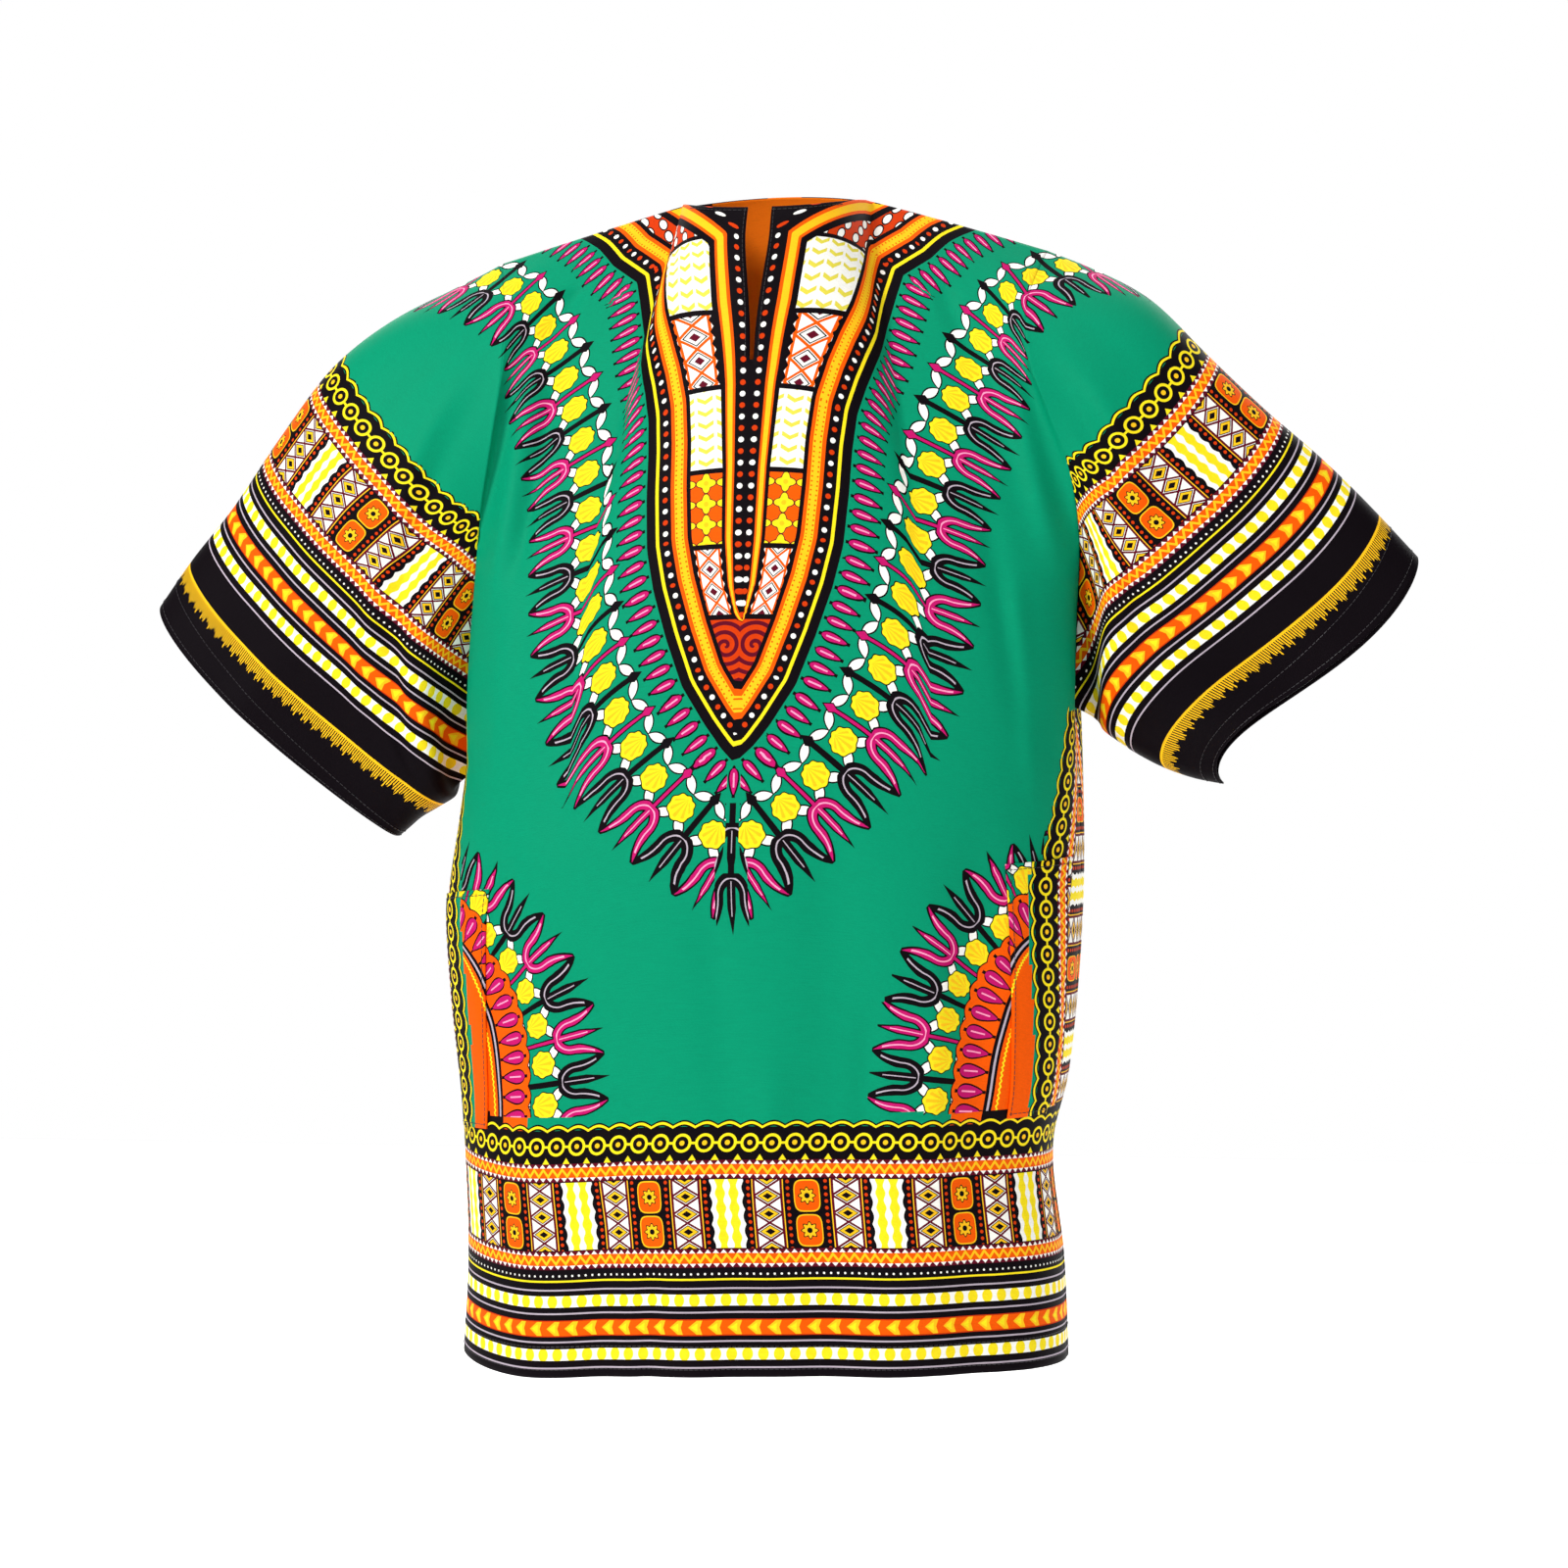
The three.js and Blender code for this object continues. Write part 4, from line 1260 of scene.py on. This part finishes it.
def pocket_sheet(front, sign):
    """The part of the front under a pocket piece, moved out."""
    share = np.linspace(0, 1, POCKET_ROWS)[:, None]
    step = (POCKET["last_column"] - POCKET["first_column"]) / 3
    mouth = POCKET["first_column"] + POCKET["slant"] * step * share
    p = mouth + (POCKET["last_column"] - mouth) * np.linspace(0, 1, POCKET_COLUMNS)
    middle = COLUMNS_EACH_SIDE + (1 if sign > 0 else 0)
    column = middle + sign * p * COLUMNS_EACH_SIDE
    row = CHEST_ROWS + mix(POCKET["first_row"], POCKET["last_row"], share) * SKIRT_ROWS
    row = np.broadcast_to(row, column.shape)
    lifted = front.points + normals_of(front) * POCKET["lift"]
    values = np.concatenate([lifted, front.u[..., None], front.v[..., None], front.h[..., None]], -1)
    r, c = np.floor(row).astype(int), np.floor(column).astype(int)
    down, over = (row - r)[..., None], (column - c)[..., None]
    read = mix(mix(values[r, c], values[r, c + 1], over),
               mix(values[r + 1, c], values[r + 1, c + 1], over), down)
    if sign < 0:
        read = read[:, ::-1]
    return Sheet(read[..., :3], *np.moveaxis(read[..., 3:], -1, 0), closed=False, outside=True)


def settle(piece, node, area):
    """Tie a piece to the shirt's body and hide the part of the model that it stands for."""
    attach(piece, "root")
    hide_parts(node)


def flat_area(sheet):
    """Area of a sheet of cloth in square metres."""
    cells = cells_of(sheet)
    a, b, c, d = (sheet.points.reshape(-1, 3)[cells[:, i]] for i in range(4))
    return float(np.linalg.norm(np.cross(c - a, d - b), axis=1).sum() / 2) * MM * MM


def stitch_tree():
    """Node tree that lays short stitches along a line."""
    if "Stitches" in bpy.data.node_groups:
        return bpy.data.node_groups["Stitches"]
    tree = bpy.data.node_groups.new("Stitches", "GeometryNodeTree")
    for title, kind in (("Line", "NodeSocketGeometry"), ("Pitch", "NodeSocketFloat"),
                        ("Stitch", "NodeSocketFloat"), ("Thread", "NodeSocketFloat"),
                        ("Dye", "NodeSocketMaterial")):
        tree.interface.new_socket(title, in_out="INPUT", socket_type=kind)
    tree.interface.new_socket("Stitches", in_out="OUTPUT", socket_type="NodeSocketGeometry")
    add = tree.nodes.new
    given, made = add("NodeGroupInput"), add("NodeGroupOutput")
    curve = add("GeometryNodeMeshToCurve")
    even = add("GeometryNodeResampleCurve")
    even.mode = "LENGTH"
    spread = add("GeometryNodeCurveToPoints")
    spread.mode = "EVALUATED"
    shape = add("GeometryNodeMeshCylinder")
    shape.inputs["Vertices"].default_value = 6
    place = add("GeometryNodeInstanceOnPoints")
    real = add("GeometryNodeRealizeInstances")
    dye = add("GeometryNodeSetMaterial")
    for start, outlet, end, inlet in (
            (given, "Line", curve, "Mesh"),
            (curve, "Curve", even, "Curve"),
            (given, "Pitch", even, "Length"),
            (even, "Curve", spread, "Curve"),
            (given, "Thread", shape, "Radius"),
            (given, "Stitch", shape, "Depth"),
            (spread, "Points", place, "Points"),
            (spread, "Rotation", place, "Rotation"),
            (shape, "Mesh", place, "Instance"),
            (place, "Instances", real, "Geometry"),
            (real, "Geometry", dye, "Geometry"),
            (given, "Dye", dye, "Material"),
            (dye, "Geometry", made, "Stitches")):
        tree.links.new(start.outputs[outlet], end.inputs[inlet])
    return tree


def thread_material():
    """Twisted black cotton thread."""
    if "thread" in bpy.data.materials:
        return bpy.data.materials["thread"]
    material = bpy.data.materials.new("thread")
    material.use_nodes = True
    tree = material.node_tree
    shader = tree.nodes["Principled BSDF"]
    shader.inputs["Roughness"].default_value = 0.5
    place = tree.nodes.new("ShaderNodeTexCoord")
    twist = tree.nodes.new("ShaderNodeTexWave")
    twist.inputs["Scale"].default_value = 900.0
    ramp = tree.nodes.new("ShaderNodeValToRGB")
    ramp.color_ramp.elements[0].color = (0.004, 0.003, 0.004, 1)
    ramp.color_ramp.elements[1].color = (0.03, 0.024, 0.03, 1)
    tree.links.new(place.outputs["Object"], twist.inputs["Vector"])
    tree.links.new(twist.outputs["Fac"], ramp.inputs["Fac"])
    tree.links.new(ramp.outputs["Color"], shader.inputs["Base Color"])
    return material


def lifted_line(sheet, rows, columns):
    """Points over a sheet's cloth, in metres, at given rows and columns."""
    normal = normals_of(sheet)
    lift = bpy.context.scene.shirt_sizes.thread / MM * THREAD_LIFT
    points = sheet.points + normal * lift
    rows, columns = np.broadcast_arrays(rows, columns)
    return points[rows, columns] * MM


def stitches(name, lines):
    """Rows of machine stitches along lines of points."""
    sizes = bpy.context.scene.shirt_sizes
    points = np.concatenate(lines)
    ends = np.cumsum([len(line) for line in lines])
    edges = [(i, i + 1) for i in range(len(points) - 1) if i + 1 not in ends]
    mesh = bpy.data.meshes.new(name + "_line")
    mesh.from_pydata(points.tolist(), edges, [])
    piece = bpy.data.objects.new(name, mesh)
    bpy.context.scene.collection.objects.link(piece)
    modifier = piece.modifiers.new("Stitches", "NODES")
    modifier.node_group = stitch_tree()
    values = {"Pitch": sizes.stitch * STITCH_PITCH, "Stitch": sizes.stitch, "Thread": sizes.thread / 2,
              "Dye": thread_material()}
    for item in modifier.node_group.interface.items_tree:
        if item.in_out == "INPUT" and item.name in values:
            modifier[item.identifier] = values[item.name]
    graph = bpy.context.evaluated_depsgraph_get()
    solid = bpy.data.meshes.new_from_object(piece.evaluated_get(graph))
    piece.modifiers.clear()
    piece.data = solid
    if not solid.polygons:
        raise RuntimeError(f"no stitches were made for {name}")
    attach(piece, "root")


def panel_stitches(face, sheet):
    """Hem, neck edge and slit."""
    last_row, last_column = len(sheet.u) - 1, sheet.u.shape[1] - 1
    neck = np.flatnonzero(np.abs(sheet.u[0]) < NECK_HALF - 2)
    across = np.arange(2, last_column - 1)
    lines = [lifted_line(sheet, last_row - row, across) for row in HEM_STITCH_ROWS]
    if face == "back":
        lines.append(lifted_line(sheet, 2, neck))
    else:
        left, right = COLUMNS_EACH_SIDE, COLUMNS_EACH_SIDE + 1
        slit_rows = np.arange(2, sheet.open_rows)
        lines += [lifted_line(sheet, 2, neck[neck < left]),
                  lifted_line(sheet, 2, neck[neck > right]),
                  lifted_line(sheet, slit_rows, left - 1),
                  lifted_line(sheet, slit_rows, right + 1)]
    stitches(f"{face}_stitches", lines)


class SHIRT_OT_body(bpy.types.Operator):
    """Front and back panels with their yokes, corners and hem borders"""
    bl_idname = "shirt.body"
    bl_label = "Front and back"

    def execute(self, context):
        for face in ("front", "back"):
            sheet = panel_sheet(face)
            piece = cloth_object(f"{face}_panel", sheet, print_fields(sheet))
            settle(piece, face, flat_area(sheet))
            panel_stitches(face, sheet)
        return {"FINISHED"}


class SHIRT_OT_sleeves(bpy.types.Operator):
    """Two wide sleeves with banded cuffs"""
    bl_idname = "shirt.sleeves"
    bl_label = "Sleeves"

    def execute(self, context):
        front, back = panel_sheet("front"), panel_sheet("back")
        for hand in ("left", "right"):
            sheet = sleeve_sheet(hand, front, back)
            cuff = sheet.points[-1]
            round_cuff = np.concatenate([cuff, cuff[:1]])
            *arc, whole = arcs(round_cuff, 0)
            arc = np.array(arc)
            arc = np.where(arc > whole / 2, arc - whole, arc) * CUFF_STRETCH
            piece = cloth_object(f"{hand}_sleeve", sheet, print_fields(sheet, arc), cuffed=True)
            settle(piece, f"sleeve_{hand}", flat_area(sheet))
            around = np.append(np.arange(sheet.u.shape[1]), 0)
            last_row = len(sheet.u) - 1
            lines = [lifted_line(sheet, last_row - row, around) for row in CUFF_STITCH_ROWS]
            stitches(f"{hand}_cuff_stitches", lines)
        return {"FINISHED"}


class SHIRT_OT_pockets(bpy.types.Operator):
    """Slanted pocket pieces beside the side seams"""
    bl_idname = "shirt.pockets"
    bl_label = "Pockets"

    def execute(self, context):
        front = panel_sheet("front")
        for hand, sign in (("left", -1), ("right", 1)):
            sheet = pocket_sheet(front, sign)
            u, down, up = print_fields(sheet)["cut"]
            raised = Sheet(sheet.points, u, down, up - POCKET_PRINT_RISE, closed=False, outside=True)
            piece = cloth_object(f"{hand}_pocket", sheet, print_fields(raised))
            settle(piece, f"pocket_{hand}", flat_area(sheet))
            height, width = sheet.u.shape
            mouth = 1 if sign > 0 else width - 2
            lines = [lifted_line(sheet, np.arange(1, height - 1), mouth),
                     lifted_line(sheet, 1, np.arange(1, width - 1)),
                     lifted_line(sheet, height - 2, np.arange(1, width - 1))]
            stitches(f"{hand}_pocket_stitches", lines)
        return {"FINISHED"}


# ---------------------------------------------------------------------------------------------
# Stage
# ---------------------------------------------------------------------------------------------

class StudioSettings(bpy.types.PropertyGroup):
    """Camera, floor and light."""
    turn: bpy.props.FloatProperty(
        name="Turn", description="How far the camera stands to the right of the front",
        default=math.radians(10), subtype="ANGLE")
    distance: bpy.props.FloatProperty(
        name="Distance", description="Camera to the shirt's middle", default=2.6, unit="LENGTH")
    height: bpy.props.FloatProperty(
        name="Height", description="Camera height over the neck", default=-0.398, unit="LENGTH")
    side: bpy.props.FloatProperty(
        name="Side", description="Camera's sideways place", default=0.010, unit="LENGTH")
    view: bpy.props.FloatProperty(
        name="View", description="Width that the picture takes in at the shirt", default=1.072,
        unit="LENGTH")
    room: bpy.props.FloatProperty(
        name="Room", description="Brightness of the room round the shirt", default=0.27, min=0, max=2)
    backdrop: bpy.props.FloatProperty(
        name="Backdrop", description="Brightness of the backdrop behind it", default=1.0, min=0, max=2)
    floor_drop: bpy.props.FloatProperty(
        name="Floor drop", description="Floor under the hem", default=0.35, unit="LENGTH")


def pale_floor(level):
    """Plain floor under the shirt."""
    mesh = bpy.data.meshes.new("floor")
    corners = [(x * FLOOR_REACH, y * FLOOR_REACH, level) for x, y in ((-1, -1), (1, -1), (1, 1), (-1, 1))]
    mesh.from_pydata(corners, [], [(0, 1, 2, 3)])
    floor = bpy.data.objects.new("floor", mesh)
    bpy.context.scene.collection.objects.link(floor)
    pale = bpy.data.materials.new("pale_floor")
    pale.use_nodes = True
    shader = pale.node_tree.nodes["Principled BSDF"]
    shader.inputs["Base Color"].default_value = (0.97, 0.97, 0.97, 1)
    shader.inputs["Roughness"].default_value = 0.9
    mesh.materials.append(pale)


def studio_world(room, backdrop):
    """White room, dim in front of the shirt and bright behind it."""
    world = bpy.data.worlds.new("studio")
    world.use_nodes = True
    tree = world.node_tree
    sky = tree.nodes["Background"]
    sky.inputs["Color"].default_value = (1, 1, 1, 1)
    place = tree.nodes.new("ShaderNodeTexCoord")
    split = tree.nodes.new("ShaderNodeSeparateXYZ")
    bright = tree.nodes.new("ShaderNodeMapRange")
    for title, value in (("From Min", 0.2), ("From Max", 0.8), ("To Min", room), ("To Max", backdrop)):
        bright.inputs[title].default_value = value
    tree.links.new(place.outputs["Generated"], split.inputs[0])
    tree.links.new(split.outputs["Y"], bright.inputs["Value"])
    tree.links.new(bright.outputs["Result"], sky.inputs["Strength"])
    bpy.context.scene.world = world


def soft_lamp(name, place, aim, size, power):
    """A rectangular lamp turned to its aim."""
    data = bpy.data.lights.new(name, "AREA")
    data.shape = "RECTANGLE"
    data.size, data.size_y = size
    data.energy = power
    light = bpy.data.objects.new(name, data)
    light.location = place
    direction = np.array(aim) - np.array(place)
    level_reach = math.hypot(direction[0], direction[1])
    light.rotation_euler = (
        math.atan2(level_reach, -direction[2]), 0, math.atan2(-direction[0], direction[1]))
    bpy.context.scene.collection.objects.link(light)


def studio_camera(studio):
    """Level camera, a little to the right of the front."""
    data = bpy.data.cameras.new("camera")
    data.sensor_width = SENSOR
    data.lens = SENSOR * studio.distance / studio.view
    data.clip_end = 50
    camera = bpy.data.objects.new("camera", data)
    away = np.array([math.sin(studio.turn), -math.cos(studio.turn)]) * studio.distance
    across = np.array([math.cos(studio.turn), math.sin(studio.turn)]) * studio.side
    camera.location = (*(away + across), studio.height)
    camera.rotation_euler = (math.pi / 2, 0, studio.turn)
    bpy.context.scene.collection.objects.link(camera)
    bpy.context.scene.camera = camera


class SHIRT_OT_stage(bpy.types.Operator):
    """Pale floor, soft lights and the camera"""
    bl_idname = "shirt.stage"
    bl_label = "Stage"

    def execute(self, context):
        studio = context.scene.shirt_studio
        pale_floor(HEM_LEVEL - studio.floor_drop)
        studio_world(studio.room, studio.backdrop)
        for name, settings in LAMPS.items():
            soft_lamp(name, *settings)
        studio_camera(studio)
        context.scene.view_settings.view_transform = "Standard"
        return {"FINISHED"}


class SHIRT_PT_panel(bpy.types.Panel):
    """Sidebar panel of the shirt"""
    bl_idname = "SHIRT_PT_panel"
    bl_label = "Dashiki shirt"
    bl_space_type = "VIEW_3D"
    bl_region_type = "UI"
    bl_category = "Shirt"

    def draw(self, context):
        for group in (context.scene.shirt_sizes, context.scene.shirt_colours, context.scene.shirt_studio):
            box = self.layout.box()
            for name in group.bl_rna.properties.keys():
                if name not in ("rna_type", "name"):
                    box.prop(group, name)
        for operator in OPERATORS:
            self.layout.operator(operator.bl_idname)


GROUPS = {"shirt_sizes": ShirtSizes, "shirt_colours": ShirtColours, "shirt_studio": StudioSettings}
OPERATORS = (SHIRT_OT_body, SHIRT_OT_sleeves, SHIRT_OT_pockets, SHIRT_OT_stage)


def register():
    for name, group in GROUPS.items():
        bpy.utils.register_class(group)
        setattr(bpy.types.Scene, name, bpy.props.PointerProperty(type=group))
    for operator in OPERATORS:
        bpy.utils.register_class(operator)
    bpy.utils.register_class(SHIRT_PT_panel)


def unregister():
    bpy.utils.unregister_class(SHIRT_PT_panel)
    for operator in reversed(OPERATORS):
        bpy.utils.unregister_class(operator)
    for name, group in GROUPS.items():
        delattr(bpy.types.Scene, name)
        bpy.utils.unregister_class(group)


def main():
    register()
    bpy.ops.shirt.body()
    bpy.ops.shirt.sleeves()
    bpy.ops.shirt.pockets()
    bpy.ops.shirt.stage()


if __name__ == "__main__":
    main()
